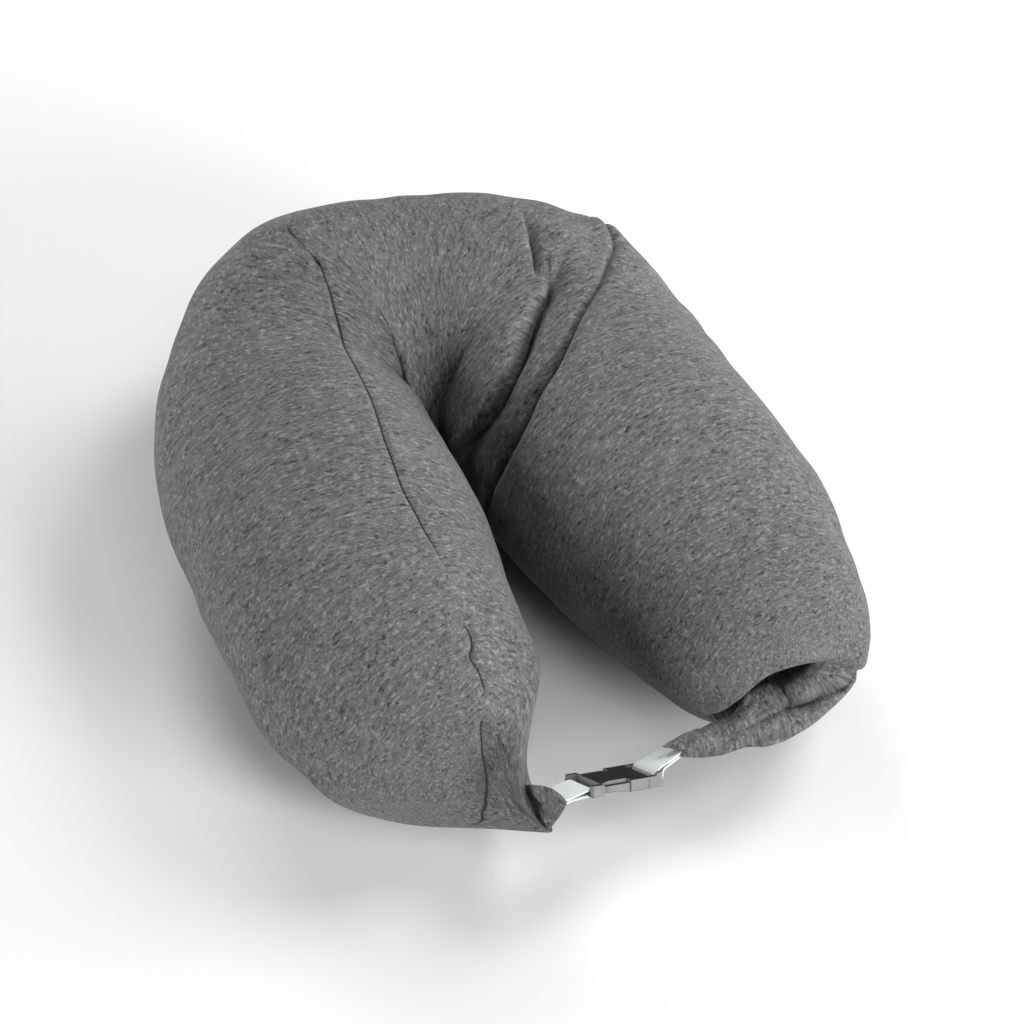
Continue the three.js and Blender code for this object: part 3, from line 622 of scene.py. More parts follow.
def jersey(name, body=True, level=1.0):
    """Heather grey knitted jersey: light and dark fibre flecks running round the tube."""
    mat = bpy.data.materials.new(name)
    nt = nodes_of(mat)
    k = N(nt)
    uvn = k.new("ShaderNodeUVMap", uv_map="flow")
    place = uvn.outputs[0]
    if body:
        # the knit's other run at the left end, taken over along a ragged border
        uve = k.new("ShaderNodeUVMap", uv_map="end_flow")
        at_end = k.new("ShaderNodeAttribute", attribute_name="at_end")
        rag = k.noise(k.vmath("SCALE", uvn.outputs[0], scale=100.0), 0.22, 3.0, 0.6).outputs["Fac"]
        pick = k.math("GREATER_THAN", k.math("ADD", at_end.outputs["Fac"], k.math("MULTIPLY", k.math("SUBTRACT", rag, 0.5), 0.5)), 0.5)
        choose = k.new("ShaderNodeMix", data_type="VECTOR")
        k.put(choose.inputs[0], pick); k.put(choose.inputs[4], uvn.outputs[0]); k.put(choose.inputs[5], uve.outputs[0])
        place = choose.outputs[1]
        uvb = k.new("ShaderNodeUVMap", uv_map="bend_flow")
        at_bend = k.new("ShaderNodeAttribute", attribute_name="at_bend")
        pick = k.math("GREATER_THAN", k.math("ADD", at_bend.outputs["Fac"], k.math("MULTIPLY", k.math("SUBTRACT", rag, 0.5), 0.5)), 0.5)
        choose = k.new("ShaderNodeMix", data_type="VECTOR")
        k.put(choose.inputs[0], pick); k.put(choose.inputs[4], place); k.put(choose.inputs[5], uvb.outputs[0])
        place = choose.outputs[1]
    mm = k.vmath("SCALE", place, scale=100.0)
    # the yarns wander a little
    wander = k.noise(mm, 0.05, 2.0, 0.5)
    shift = k.vmath("SCALE", k.vmath("SUBTRACT", wander.outputs["Color"], (0.5, 0.5, 0.5)), scale=6.0)
    jit = k.noise(mm, 0.40, 2.0, 0.6)
    shift2 = k.vmath("SCALE", k.vmath("SUBTRACT", jit.outputs["Color"], (0.5, 0.5, 0.5)), scale=1.1)
    pos = k.vmath("ADD", k.vmath("ADD", mm, shift), shift2)
    sep = k.new("ShaderNodeSeparateXYZ")
    k.link(pos, sep.inputs[0])
    a, b = sep.outputs[0], sep.outputs[1]
    # light fibres, dark fibres, broad soft streaks and the stitches' grain
    long = 0.22 if body else 0.34
    v1 = k.combine(k.math("MULTIPLY", a, 0.70), k.math("MULTIPLY", b, long), 0.0)
    f1 = k.noise(v1, 1.0, 3.0, 0.6).outputs["Fac"]
    v2 = k.combine(k.math("MULTIPLY", a, 0.74), k.math("MULTIPLY", b, long * 1.05), 7.3)
    f2 = k.noise(v2, 1.0, 3.0, 0.6).outputs["Fac"]
    v3 = k.combine(k.math("MULTIPLY", a, 0.50), k.math("MULTIPLY", b, long * 0.30), 3.1)
    f3 = k.noise(v3, 1.0, 2.0, 0.5).outputs["Fac"]
    grain = k.noise(k.combine(k.math("MULTIPLY", a, 1.0), k.math("MULTIPLY", b, 0.5), 1.0), 1.0, 2.0, 0.6).outputs["Fac"]
    patch = k.noise(mm, 0.03, 3.0, 0.55).outputs["Fac"]
    light = k.maprange(f1, 0.50, 0.72)
    dark = k.maprange(f2, 0.50, 0.28)
    soft = k.maprange(f3, 0.3, 0.7, -1.0, 1.0, False)
    fine = k.maprange(grain, 0.25, 0.75, -1.0, 1.0, False)
    val = k.math("ADD", 1.0, k.math("MULTIPLY", light, 1.05))
    val = k.math("SUBTRACT", val, k.math("MULTIPLY", dark, 0.66))
    val = k.math("ADD", val, k.math("MULTIPLY", soft, 0.26))
    val = k.math("ADD", val, k.math("MULTIPLY", fine, 0.42))
    val = k.math("ADD", val, k.maprange(patch, 0.3, 0.7, -0.05, 0.05, False))
    val = k.math("MAXIMUM", val, 0.15)
    dark_col = (0.086 * level, 0.090 * level, 0.0845 * level, 1)
    base_col = k.vmath("SCALE", dark_col[:3], scale=val)
    height = k.math("ADD", k.math("MULTIPLY", f1, 0.5), k.math("MULTIPLY", grain, 0.5))
    if body:
        # painted shade: the colour is darkened along the seam, where its groove lies; the bump draws the groove itself
        att = k.new("ShaderNodeAttribute", attribute_name="seam")
        share = k.new("ShaderNodeAttribute", attribute_name="seam_share")
        d = k.math("ABSOLUTE", att.outputs["Fac"])
        line = k.math("MULTIPLY", k.maprange(d, 0.15, 0.8, 1.0, 0.0), k.maprange(share.outputs["Fac"], 0.2, 0.8))
        base_col = k.vmath("SCALE", base_col, scale=k.math("SUBTRACT", 1.0, k.math("MULTIPLY", line, 0.75)))
        height = k.math("SUBTRACT", height, k.math("MULTIPLY", line, 1.5))
    bumpn = k.new("ShaderNodeBump")
    bumpn.inputs["Strength"].default_value = 0.55
    bumpn.inputs["Distance"].default_value = 0.0006
    k.link(height, bumpn.inputs["Height"])
    sh = k.new("ShaderNodeBsdfPrincipled")
    k.link(base_col, sh.inputs["Base Color"])
    k.link(bumpn.outputs[0], sh.inputs["Normal"])
    k.link(k.maprange(grain, 0.3, 0.7, 0.86, 1.0, False), sh.inputs["Roughness"])
    sh.inputs["Specular IOR Level"].default_value = 0.2
    sh.inputs["Sheen Weight"].default_value = 0.06
    sh.inputs["Sheen Roughness"].default_value = 0.5
    out = k.new("ShaderNodeOutputMaterial")
    k.link(sh.outputs[0], out.inputs[0])
    return mat


def webbing_mat():
    mat = bpy.data.materials.new("white webbing")
    k = N(nodes_of(mat))
    uvn = k.new("ShaderNodeUVMap", uv_map="flow")
    mm = k.vmath("SCALE", uvn.outputs[0], scale=100.0)
    sep = k.new("ShaderNodeSeparateXYZ")
    k.link(mm, sep.inputs[0])
    a, b = sep.outputs[0], sep.outputs[1]  # along, across
    ribs = k.math("SINE", k.math("MULTIPLY", b, 2 * math.pi / 1.3))
    picks = k.math("SINE", k.math("ADD", k.math("MULTIPLY", a, 2 * math.pi / 1.1), k.math("MULTIPLY", ribs, 1.3)))
    weave = k.math("MULTIPLY", k.math("ADD", k.math("MULTIPLY", ribs, 0.5), k.math("MULTIPLY", picks, 0.5)), 1.0)
    stain = k.noise(mm, 0.25, 3.0, 0.6).outputs["Fac"]
    col = k.mix(k.maprange(weave, -1, 1, 0, 1, False), (0.50, 0.53, 0.505, 1), (0.62, 0.655, 0.625, 1))
    col = k.mix(k.maprange(stain, 0.35, 0.7, 0, 0.25, False), col, (0.53, 0.56, 0.53, 1))
    bumpn = k.new("ShaderNodeBump")
    bumpn.inputs["Strength"].default_value = 0.5
    bumpn.inputs["Distance"].default_value = 0.0003
    k.link(weave, bumpn.inputs["Height"])
    sh = k.new("ShaderNodeBsdfPrincipled")
    k.link(col, sh.inputs["Base Color"])
    k.link(bumpn.outputs[0], sh.inputs["Normal"])
    k.link(k.maprange(weave, -1, 1, 0.62, 0.5, False), sh.inputs["Roughness"])
    sh.inputs["Specular IOR Level"].default_value = 0.35
    out = k.new("ShaderNodeOutputMaterial")
    k.link(sh.outputs[0], out.inputs[0])
    return mat


def plastic_mat():
    mat = bpy.data.materials.new("dark grey acetal")
    k = N(nodes_of(mat))
    tc = k.new("ShaderNodeTexCoord")
    mm = k.vmath("SCALE", tc.outputs["Object"], scale=1000.0)
    fine = k.noise(mm, 3.2, 3.0, 0.6).outputs["Fac"]
    blot = k.noise(mm, 0.18, 3.0, 0.55).outputs["Fac"]
    # painted shade and painted reflection: faces that point up are painted near-black and the sides lighter, by which
    # way each face points
    upward = k.new("ShaderNodeAttribute", attribute_name="upward")
    top = k.maprange(upward.outputs["Fac"], 0.75, 0.97)
    col = k.mix(k.maprange(blot, 0.3, 0.7, 0, 1, False), (0.128, 0.129, 0.127, 1), (0.155, 0.156, 0.153, 1))
    col = k.mix(top, col, (0.011, 0.011, 0.011, 1))
    bumpn = k.new("ShaderNodeBump")
    bumpn.inputs["Strength"].default_value = 0.2
    bumpn.inputs["Distance"].default_value = 0.0002
    k.link(fine, bumpn.inputs["Height"])
    sh = k.new("ShaderNodeBsdfPrincipled")
    k.link(col, sh.inputs["Base Color"])
    k.link(bumpn.outputs[0], sh.inputs["Normal"])
    k.link(k.maprange(fine, 0.3, 0.7, 0.42, 0.56, False), sh.inputs["Roughness"])
    sh.inputs["Specular IOR Level"].default_value = 0.24
    out = k.new("ShaderNodeOutputMaterial")
    k.link(sh.outputs[0], out.inputs[0])
    return mat


JERSEY = jersey("heather jersey")
JERSEY_TAIL = jersey("heather jersey, tails", body=False)
WEB = webbing_mat()
PLASTIC = plastic_mat()
body.data.materials.append(JERSEY)
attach(body, "root")
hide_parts("pillow_body")

# ------------------------------------------------------------------ shapes from a distance field
def surface(f, lo, h):
    """Closed quad mesh where the field on a grid is zero (negative inside)."""
    n = np.array(f.shape)
    inside = f < 0
    count = np.zeros(n - 1, np.int8)
    for c in range(8):
        a, b, d = c & 1, c >> 1 & 1, c >> 2 & 1
        count += inside[a:n[0] - 1 + a, b:n[1] - 1 + b, d:n[2] - 1 + d]
    active = (count > 0) & (count < 8)
    cells = np.argwhere(active)
    idx = np.full(n - 1, -1); idx[active] = np.arange(len(cells))
    acc = np.zeros((len(cells), 3)); cnt = np.zeros(len(cells))
    for axis in range(3):
        step = np.eye(3, dtype=int)[axis]
        o1, o2 = [k for k in range(3) if k != axis]
        for p in (0, 1):
            for q in (0, 1):
                a = np.zeros(3, int); a[o1], a[o2] = p, q
                ia, ib = cells + a, cells + a + step
                fa, fb = f[tuple(ia.T)], f[tuple(ib.T)]
                hit = (fa < 0) != (fb < 0)
                t = np.where(hit, fa / np.where(hit, fa - fb, 1), 0)
                pt = a + t[:, None] * step
                acc[hit] += pt[hit]; cnt += hit
    verts = np.asarray(lo) + h * (cells + acc / cnt[:, None])
    quads = []
    for axis in range(3):
        o1, o2 = (axis + 1) % 3, (axis + 2) % 3
        sa = [slice(1, -1)] * 3; sb = [slice(1, -1)] * 3
        sa[axis], sb[axis] = slice(0, -1), slice(1, None)
        a, b = inside[tuple(sa)], inside[tuple(sb)]
        at = np.argwhere(a != b)
        way = a[tuple(at.T)]
        at = at + 1; at[:, axis] -= 1
        e1, e2 = np.eye(3, dtype=int)[o1], np.eye(3, dtype=int)[o2]
        q = np.stack([idx[tuple((at - e1 - e2).T)], idx[tuple((at - e2).T)], idx[tuple(at.T)], idx[tuple((at - e1).T)]], -1)
        q[~way] = q[~way][:, ::-1]
        quads.append(q)
    return verts, np.concatenate(quads)


def relax(v, quads, steps, factor=0.5):
    """Evens a quad mesh out a little."""
    e = np.concatenate([quads[:, [0, 1]], quads[:, [1, 2]], quads[:, [2, 3]], quads[:, [3, 0]]])
    deg = np.bincount(e.ravel(), minlength=len(v))[:, None]
    for _ in range(steps):
        s = np.zeros_like(v)
        for k in range(3):
            s[:, k] = np.bincount(e[:, 0], v[e[:, 1], k], len(v)) + np.bincount(e[:, 1], v[e[:, 0], k], len(v))
        v = v + factor * (s / deg - v)
    return v


def mesh_from(name, verts, quads, mat):
    me = bpy.data.meshes.new(name)
    me.vertices.add(len(verts)); me.loops.add(quads.size); me.polygons.add(len(quads))
    me.vertices.foreach_set("co", ((verts + OFF) / 1000).astype(np.float32).ravel())
    me.loops.foreach_set("vertex_index", quads.astype(np.int32).ravel())
    me.polygons.foreach_set("loop_start", (np.arange(len(quads)) * quads.shape[1]).astype(np.int32))
    me.polygons.foreach_set("use_smooth", np.ones(len(quads), bool))
    me.update(calc_edges=True)
    me.validate()
    me.materials.append(mat)
    ob = bpy.data.objects.new(name, me)
    bpy.context.scene.collection.objects.link(ob)
    return ob


def near_path(p, path):
    """Distance, place along and foot of the nearest point on a polyline."""
    seg = path[1:] - path[:-1]
    l2 = (seg**2).sum(1)
    cum = np.concatenate([[0], np.cumsum(np.sqrt(l2))])
    best = np.full(len(p), 1e9); where = np.zeros(len(p)); foot = np.zeros_like(p)
    for i in range(len(seg)):
        v = p - path[i]
        f = np.clip((v @ seg[i]) / max(l2[i], 1e-9), 0, 1)
        q = path[i] + f[:, None] * seg[i]
        d = ((p - q) ** 2).sum(1)
        m = d < best
        best[m] = d[m]; where[m] = (cum[i] + f * math.sqrt(l2[i]))[m]; foot[m] = q[m]
    return np.sqrt(best), where, foot, cum[-1]


def flow_uv(me, p, path, scale=100.0):
    """UV layer 'flow': along the path, and across it in the leaning plane, in tenths of a metre."""
    q, line = p @ FLAT.T, path @ FLAT.T
    d, s, foot, total = near_path(q[:, :2], line[:, :2])
    t = np.gradient(line[:, :2], axis=0); t /= np.linalg.norm(t, axis=1, keepdims=True)
    cum = np.concatenate([[0], np.cumsum(np.linalg.norm(np.diff(line[:, :2], axis=0), axis=1))])
    tt = np.stack([np.interp(s, cum, t[:, k]) for k in range(2)], -1)
    v = q[:, :2] - foot
    out = v[:, 1] * tt[:, 0] - v[:, 0] * tt[:, 1]
    vals = np.stack([(s + (v * tt).sum(1)) / scale, (out + 0.6 * q[:, 2]) / scale], -1)
    loops = np.zeros(len(me.loops), np.int32)
    me.loops.foreach_get("vertex_index", loops)
    layer = me.uv_layers.new(name="flow")
    layer.data.foreach_set("uv", vals[loops].astype(np.float32).ravel())


# ------------------------------------------------------------------ gathered tails
# The tails are flattened rolls of cloth, drawn as outlines in a plane that leans like the view from the
# front: across (u), up (v), and towards the front (w).
FLAT = np.array([[0.8988, -0.4384, 0.0], [0.3358, 0.6885, 0.6427], [-0.2818, -0.5777, 0.7660]])
BAND = [(83.8, -116.6), (86.3, -112.3), (90.4, -108), (95.4, -106.7), (103.5, -106), (111.7, -103.8), (118.9, -101.1),
        (125.6, -97.8), (131.3, -96), (137, -97.1), (143.7, -97.6), (149, -96), (154.2, -93.1), (159.5, -90), (165.9, -88.5),
        (170, -82), (173.5, -79), (173, -84.6), (170, -89), (166.3, -92.8), (161, -97.4), (155.2, -102.1), (148.9, -106.9),
        (143.6, -110), (135.8, -113.7), (125.5, -116.3), (115.7, -116), (110.1, -117.5), (102.4, -119.7), (92.3, -120.5),
        (82.2, -119.7)]
LOWER = [(92.2, -114.3), (89.4, -109.5), (94, -106), (98.1, -104.5), (103.7, -102.5), (109.4, -100.7), (112.6, -96.2),
         (112.6, -93.4), (116.5, -89.4), (122.2, -87.0), (128, -85.6), (134.3, -84.5), (141, -84), (142, -94), (138.7, -101.3),
         (130.8, -104.5), (121.9, -109), (112.6, -112.6), (102.3, -115.1)]
UPPER = [(134, -86.2), (137.6, -83.4), (142.2, -80.0), (146.8, -75), (151, -67), (159.1, -64), (166, -64), (171, -68),
         (173, -74), (173.5, -80), (172.5, -86), (167, -91), (161, -94), (156.9, -96.5), (150.2, -99.5), (144, -101.5),
         (137.3, -101), (134.6, -97), (134.1, -89.7)]
FACET = [(73, -115.3), (75.5, -113.2), (78.5, -111.7), (84.1, -108.7), (91.2, -106.4), (95.6, -107.5), (94.4, -113.1),
         (88.8, -117.7), (84.3, -117.4), (78.4, -115.9)]
FLAP = [(-5.9, -136.3), (0, -133.6), (6.8, -132.1), (14, -131.6), (19.2, -132.5), (23.5, -135.1), (26.6, -138.3), (25, -142.5),
        (22.6, -147.4), (18.9, -153), (16, -154.9), (8.8, -155.8), (0, -155.4), (-5.9, -149.3)]


def line_d(x, y, rows):
    """Distance to a drawn line and the share along it (0..1)."""
    t = catmull(rows, 8 * len(rows))
    d, s, _, total = near_path(np.stack([x.ravel(), y.ravel()], -1), t)
    return d.reshape(x.shape), (s / total).reshape(x.shape)


class Sheeted:
    """Field of flattened cloth rolls on a grid in the leaning plane."""

    def __init__(self, lo, hi, h, seed):
        self.lo, self.h = np.array(lo, float), h
        ax = [np.arange(a, b, h) for a, b in zip(lo, hi)]
        self.u, self.v = np.meshgrid(ax[0], ax[1], indexing="ij")
        self.w = ax[2]
        self.f = np.full((len(ax[0]), len(ax[1]), len(ax[2])), 50.0)
        flat = np.stack([self.u, self.v, 0 * self.u], -1)
        self.wave = 0.45 * uneven(flat, seed, 12, 9, 24) + 0.2 * uneven(flat, seed + 1, 12, 4, 9)

    def roll(self, poly, plane, t, back=2.5, grow=0.0, grooves=(), round_more=0.0, wave=1.0):
        sd = poly_sd(self.u, self.v, poly) - grow
        w0 = plane[0] + plane[1] * self.u + plane[2] * self.v - back + wave * self.wave
        for rows, width, depth, fade in grooves:
            d, s = line_d(self.u, self.v, rows)
            share = np.interp(s, [0, 0.12, 0.5, 1], fade)
            w0 = w0 - depth * share * np.exp(-(d / width) ** 1.3)
        w0 = w0 + round_more * np.clip(-sd, 0, 12) / 12
        q = np.hypot(np.maximum(sd + t, 0)[..., None], self.w - w0[..., None]) - t
        self.f = np.minimum(self.f, q)

    def solid(self, steps=2):
        # nothing reaches the grid's rim, so that the mesh is closed
        f = self.f.copy()
        f[0], f[-1], f[:, 0], f[:, -1], f[..., 0], f[..., -1] = (9.0,) * 6
        v, q = surface(f, self.lo, self.h)
        v = relax(v, q, steps)
        return v @ FLAT, q


def biggest(v, q):
    """The largest connected part of a mesh."""
    lab = np.arange(len(v))
    e = np.concatenate([q[:, [0, 1]], q[:, [1, 2]], q[:, [2, 3]]])
    while True:
        new = lab.copy()
        np.minimum.at(new, e[:, 0], lab[e[:, 1]]); np.minimum.at(new, e[:, 1], new[e[:, 0]])
        new = new[new]
        if (new == lab).all():
            break
        lab = new
    keep = lab == np.bincount(lab).argmax()
    at = np.cumsum(keep) - 1
    return v[keep], at[q[keep[q[:, 0]]]]


HEM = [(135.8, -96.5), (139.5, -97.2), (143.3, -96.8), (149.2, -95), (153.2, -92), (158.2, -89.5), (164.2, -89.1)]
OPEN, FADE, BOTH = (0.4, 1, 1, 0.5), (1, 1, 0.7, 0.1), (0.1, 0.8, 1, 0.1)
right = Sheeted((68, -126, 124), (184, -56, 202), 0.62, 21)
right.roll(LOWER, (166.377, -0.392, -0.405), 6.5, back=0.5, grow=0.3, round_more=1.5, grooves=[
    ([(122, -91.6), (125, -94.1), (128.5, -97.6)], 1.3, 1.6, BOTH),
    ([(114.1, -97.2), (117.3, -94.4), (119.5, -91.1)], 1.3, 1.6, BOTH),
    ([(137, -97.6), (133.9, -98.3), (130.8, -99.4), (123, -103.2), (116.8, -105.4), (111.7, -107.2), (106.6, -109)], 1.8, 4.5, FADE),
    ([(126, -83), (131, -88), (134, -94)], 1.8, 1.8, BOTH)])
right.roll(UPPER, (214.008, -0.34, 0.156), 8.0, back=1.6, round_more=3.0, grooves=[
    (HEM, 2.4, 6.0, (0.7, 1, 1, 0.6)),
    ([(180, -60), (182, -74), (180, -88)], 9.0, 10.0, (1, 1, 1, 1)),
    ([(139.8, -90.9), (143.9, -88.9), (149.1, -89)], 1.3, 1.3, BOTH),
    ([(153.2, -89.1), (157.3, -87.2), (163.6, -85.3)], 1.3, 1.5, BOTH),
    ([(160, -72), (158, -79), (153, -84)], 2.0, 1.2, BOTH)])
right.roll(BAND, (201.692, -0.409, -0.098), 5.5, back=-1.5, grow=0.2, round_more=1.0, grooves=[
    (HEM, 1.5, 3.2, (0.7, 1, 1, 0.5)),
    ([(137, -97.6), (133.9, -98.3), (130.8, -99.4), (123, -103.2), (116.8, -105.4), (111.7, -107.2), (106.6, -109)], 1.5, 4.5, FADE),
    ([(147.8, -108.4), (143.6, -109.5), (138.4, -111), (130.6, -112), (122.9, -112.8), (117.8, -113.8), (111.6, -115.1)], 1.3, 3.2, OPEN),
    ([(132.8, -99.5), (135.9, -102.1), (139.5, -104.6), (143.7, -106), (147.3, -108.3)], 1.5, 2.6, BOTH),
    ([(110.1, -110.6), (103.5, -112.9), (96.4, -114.1)], 1.4, 1.5, BOTH),
    ([(89.3, -109), (93.9, -107.2), (99.5, -105.9)], 1.3, 2.0, OPEN),
    ([(169.8, -83.4), (164.6, -85.8), (159.5, -89.8)], 1.4, 1.8, OPEN)])
right.roll(FACET, (131.523, -0.221, -0.556), 3.0, back=-1.5)
v, q = biggest(*right.solid(2))
tail_r = mesh_from("tail_right_cloth", v, q, JERSEY_TAIL)
way = np.array([(182, -76), (171.2, -80.6), (165.8, -90.5), (154.2, -98.1), (138.5, -104.6), (122.9, -109.1), (107.6, -112.5), (92.3, -114.4), (70, -115.3)], float)
way = catmull(np.column_stack([way, 198.0 - 0.409 * way[:, 0] - 0.098 * way[:, 1]]), 60) @ FLAT
flow_uv(tail_r.data, v, way)
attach(tail_r, "root"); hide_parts("tail_right")

# left tail: short, curled round its hollow end
left = Sheeted((-16, -162, 156), (34, -124, 232), 0.6, 31)
hole = [(12.5, -141.0), (16.4, -143.8), (18.8, -147.8)]
left.roll(FLAP, (249.5, 1.15, 0.48), 5.0, back=-0.5, round_more=1.5, grooves=[
    (hole, 3.4, 6.5, (0.7, 1, 1, 0.7)),
    ([(6.3, -134.4), (9.2, -138.2), (12.6, -140.4), (16.9, -139.9), (19.7, -141.1)], 1.3, 1.6, BOTH),
    ([(13.6, -150.6), (17.4, -151.1), (20.3, -148.2), (21.2, -144)], 1.2, 1.6, BOTH),
    ([(3.0, -131), (8.2, -140), (11.8, -147), (15.0, -153.5)], 4.0, 6.0, (1, 1, 1, 0.7))])
v, q = biggest(*left.solid(2))
tail_l = mesh_from("tail_left_cloth", v, q, JERSEY_TAIL)
way = np.array([(-20, -143, 176), (-6, -143, 186), (8, -144, 197), (22, -144, 207), (36, -144, 218)], float)
flow_uv(tail_l.data, v, catmull(way, 40) @ FLAT)
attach(tail_l, "root"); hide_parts("tail_left")

# ------------------------------------------------------------------ buckle and webbing
bx = np.array([0.937, -0.002, -0.348]); bx /= np.linalg.norm(bx)
bz = np.array([0.296, 0.529, 0.795]); bz -= bx * (bz @ bx); bz /= np.linalg.norm(bz)
by = np.cross(bz, bx)
BUCKLE_AT = np.array([-53.0, -222.6, 60.0]) + 2.15 * bz
by = by - 0.04 * bz; by /= np.linalg.norm(by); bz = np.cross(bx, by)
POSE = np.array([bx, by, bz])


def rbox(p, lo, hi, r):
    lo, hi = np.array(lo, float), np.array(hi, float)
    q = np.abs(p - (lo + hi) / 2) - (hi - lo) / 2 + r
    return np.linalg.norm(np.maximum(q, 0), axis=-1) + np.minimum(q.max(-1), 0) - r


def plan(p, x0, x1, half, r):
    """Rounded rectangle seen from above."""
    q = np.stack([np.abs(p[..., 0] - (x0 + x1) / 2) - (x1 - x0) / 2 + r, np.abs(p[..., 1]) - half + r], -1)
    return np.linalg.norm(np.maximum(q, 0), axis=-1) + np.minimum(q.max(-1), 0) - r


def field(lo, hi, h):
    ax = [np.arange(a, b, h) for a, b in zip(lo, hi)]
    return np.stack(np.meshgrid(*ax, indexing="ij"), -1)


def moulding(name, node, f, lo, h):
    v, q = biggest(*surface(f, lo, h))
    ob = mesh_from(name, v @ POSE + BUCKLE_AT, q, PLASTIC)
    n = np.zeros(len(v) * 3, np.float32)
    ob.data.vertices.foreach_get("normal", n)
    # 'upward' is how far each point faces up; it sets the painted shade on the buckle's top
    att = ob.data.attributes.new("upward", "FLOAT", "POINT")
    att.data.foreach_set("value", (n.reshape(-1, 3).astype(float) @ bz).astype(np.float32))
    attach(ob, "root"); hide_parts(node)
    return ob


def cut(a, b):
    return np.maximum(a, -b)


H = 0.26
# plug: a frame with the bar for its webbing, and a prong at each side
lo = (-23.0, -14.0, -4.4)
p = field(lo, (2.6, 14.0, 4.4), H)
x, y, z = p[..., 0], p[..., 1], p[..., 2]
mirror = np.stack([x, -np.abs(y), z], -1)
frame_f = np.maximum(rbox(p, (-21.5, -12.5, -3.0), (-14.4, 12.5, 3.0), 0.55), plan(p, -21.5, -8.0, 12.5, 1.5))
frame_f = cut(frame_f, rbox(p, (-23.5, -9.9, -5), (-15.7, 9.9, 5), 0.3))
bar = rbox(p, (-21.3, -10.6, -1.95), (-19.35, 10.6, -0.05), 0.85)
prong = rbox(mirror, (-15.0, -12.4, -2.7), (0.35, -9.55, 1.9), 0.4)
prong = np.maximum(prong, (-0.75 - 0.125 * (x + 13.8) - z) * 0.99)
f = np.minimum(np.minimum(frame_f, bar), prong)
f = cut(f, rbox(mirror, (-13.9, -13.0, -3.5), (-13.3, -12.05, 2.4), 0.1))
f = np.minimum(f, rbox(p, (-15.6, -5.0, -1.6), (-13.0, 5.0, 1.6), 0.4))
moulding("buckle_plug_moulding", "buckle_plug", f, lo, H)

# socket: a box with open sides at the front, and the bar for its webbing at the other end
lo = (-15.6, -14.0, -4.4)
p = field(lo, (23.2, 14.0, 6.2), H)
x, y, z = p[..., 0], p[..., 1], p[..., 2]
mirror = np.stack([x, -np.abs(y), z], -1)
box_f = np.maximum(rbox(p, (0.8, -12.3, -3.0), (21.5, 12.3, 3.0), 0.6), plan(p, -10.0, 21.5, 12.3, 4.0))
nose = rbox(p, (-14.1, -9.0, -2.9), (3.0, 9.0, 3.0), 0.35)
nose = np.maximum(nose, (np.abs(y) + z - 10.5) * 0.7071)
nose = np.maximum(nose, (-0.16 * x + z - 4.45) * 0.987)
nose = cut(nose, rbox(mirror, (-12.2, -9.8, -0.4), (0.6, -6.2, 1.25), 0.3))
nose = cut(nose, rbox(p, (-16, -6.0, -1.9), (-2, 6.0, 1.9), 0.4))
f = np.minimum(box_f, nose)
f = cut(f, rbox(mirror, (11.25, -13.0, -4), (11.95, -11.95, 2.6), 0.1))
f = cut(f, rbox(p, (12.7, -10.1, -5), (24.0, 10.1, 7), 0.3))
f = np.minimum(f, rbox(p, (17.5, -10.6, -1.5), (20.4, 10.6, 1.5), 1.2))
hump = np.maximum(np.hypot(x - 18.1, z - 2.5) - 2.2, np.abs(y + 11.2) - 1.05)
f = np.minimum(f, np.maximum(hump, plan(p, -10.0, 21.5, 12.3, 4.0)))
moulding("buckle_socket_moulding", "buckle_socket", f, lo, H)


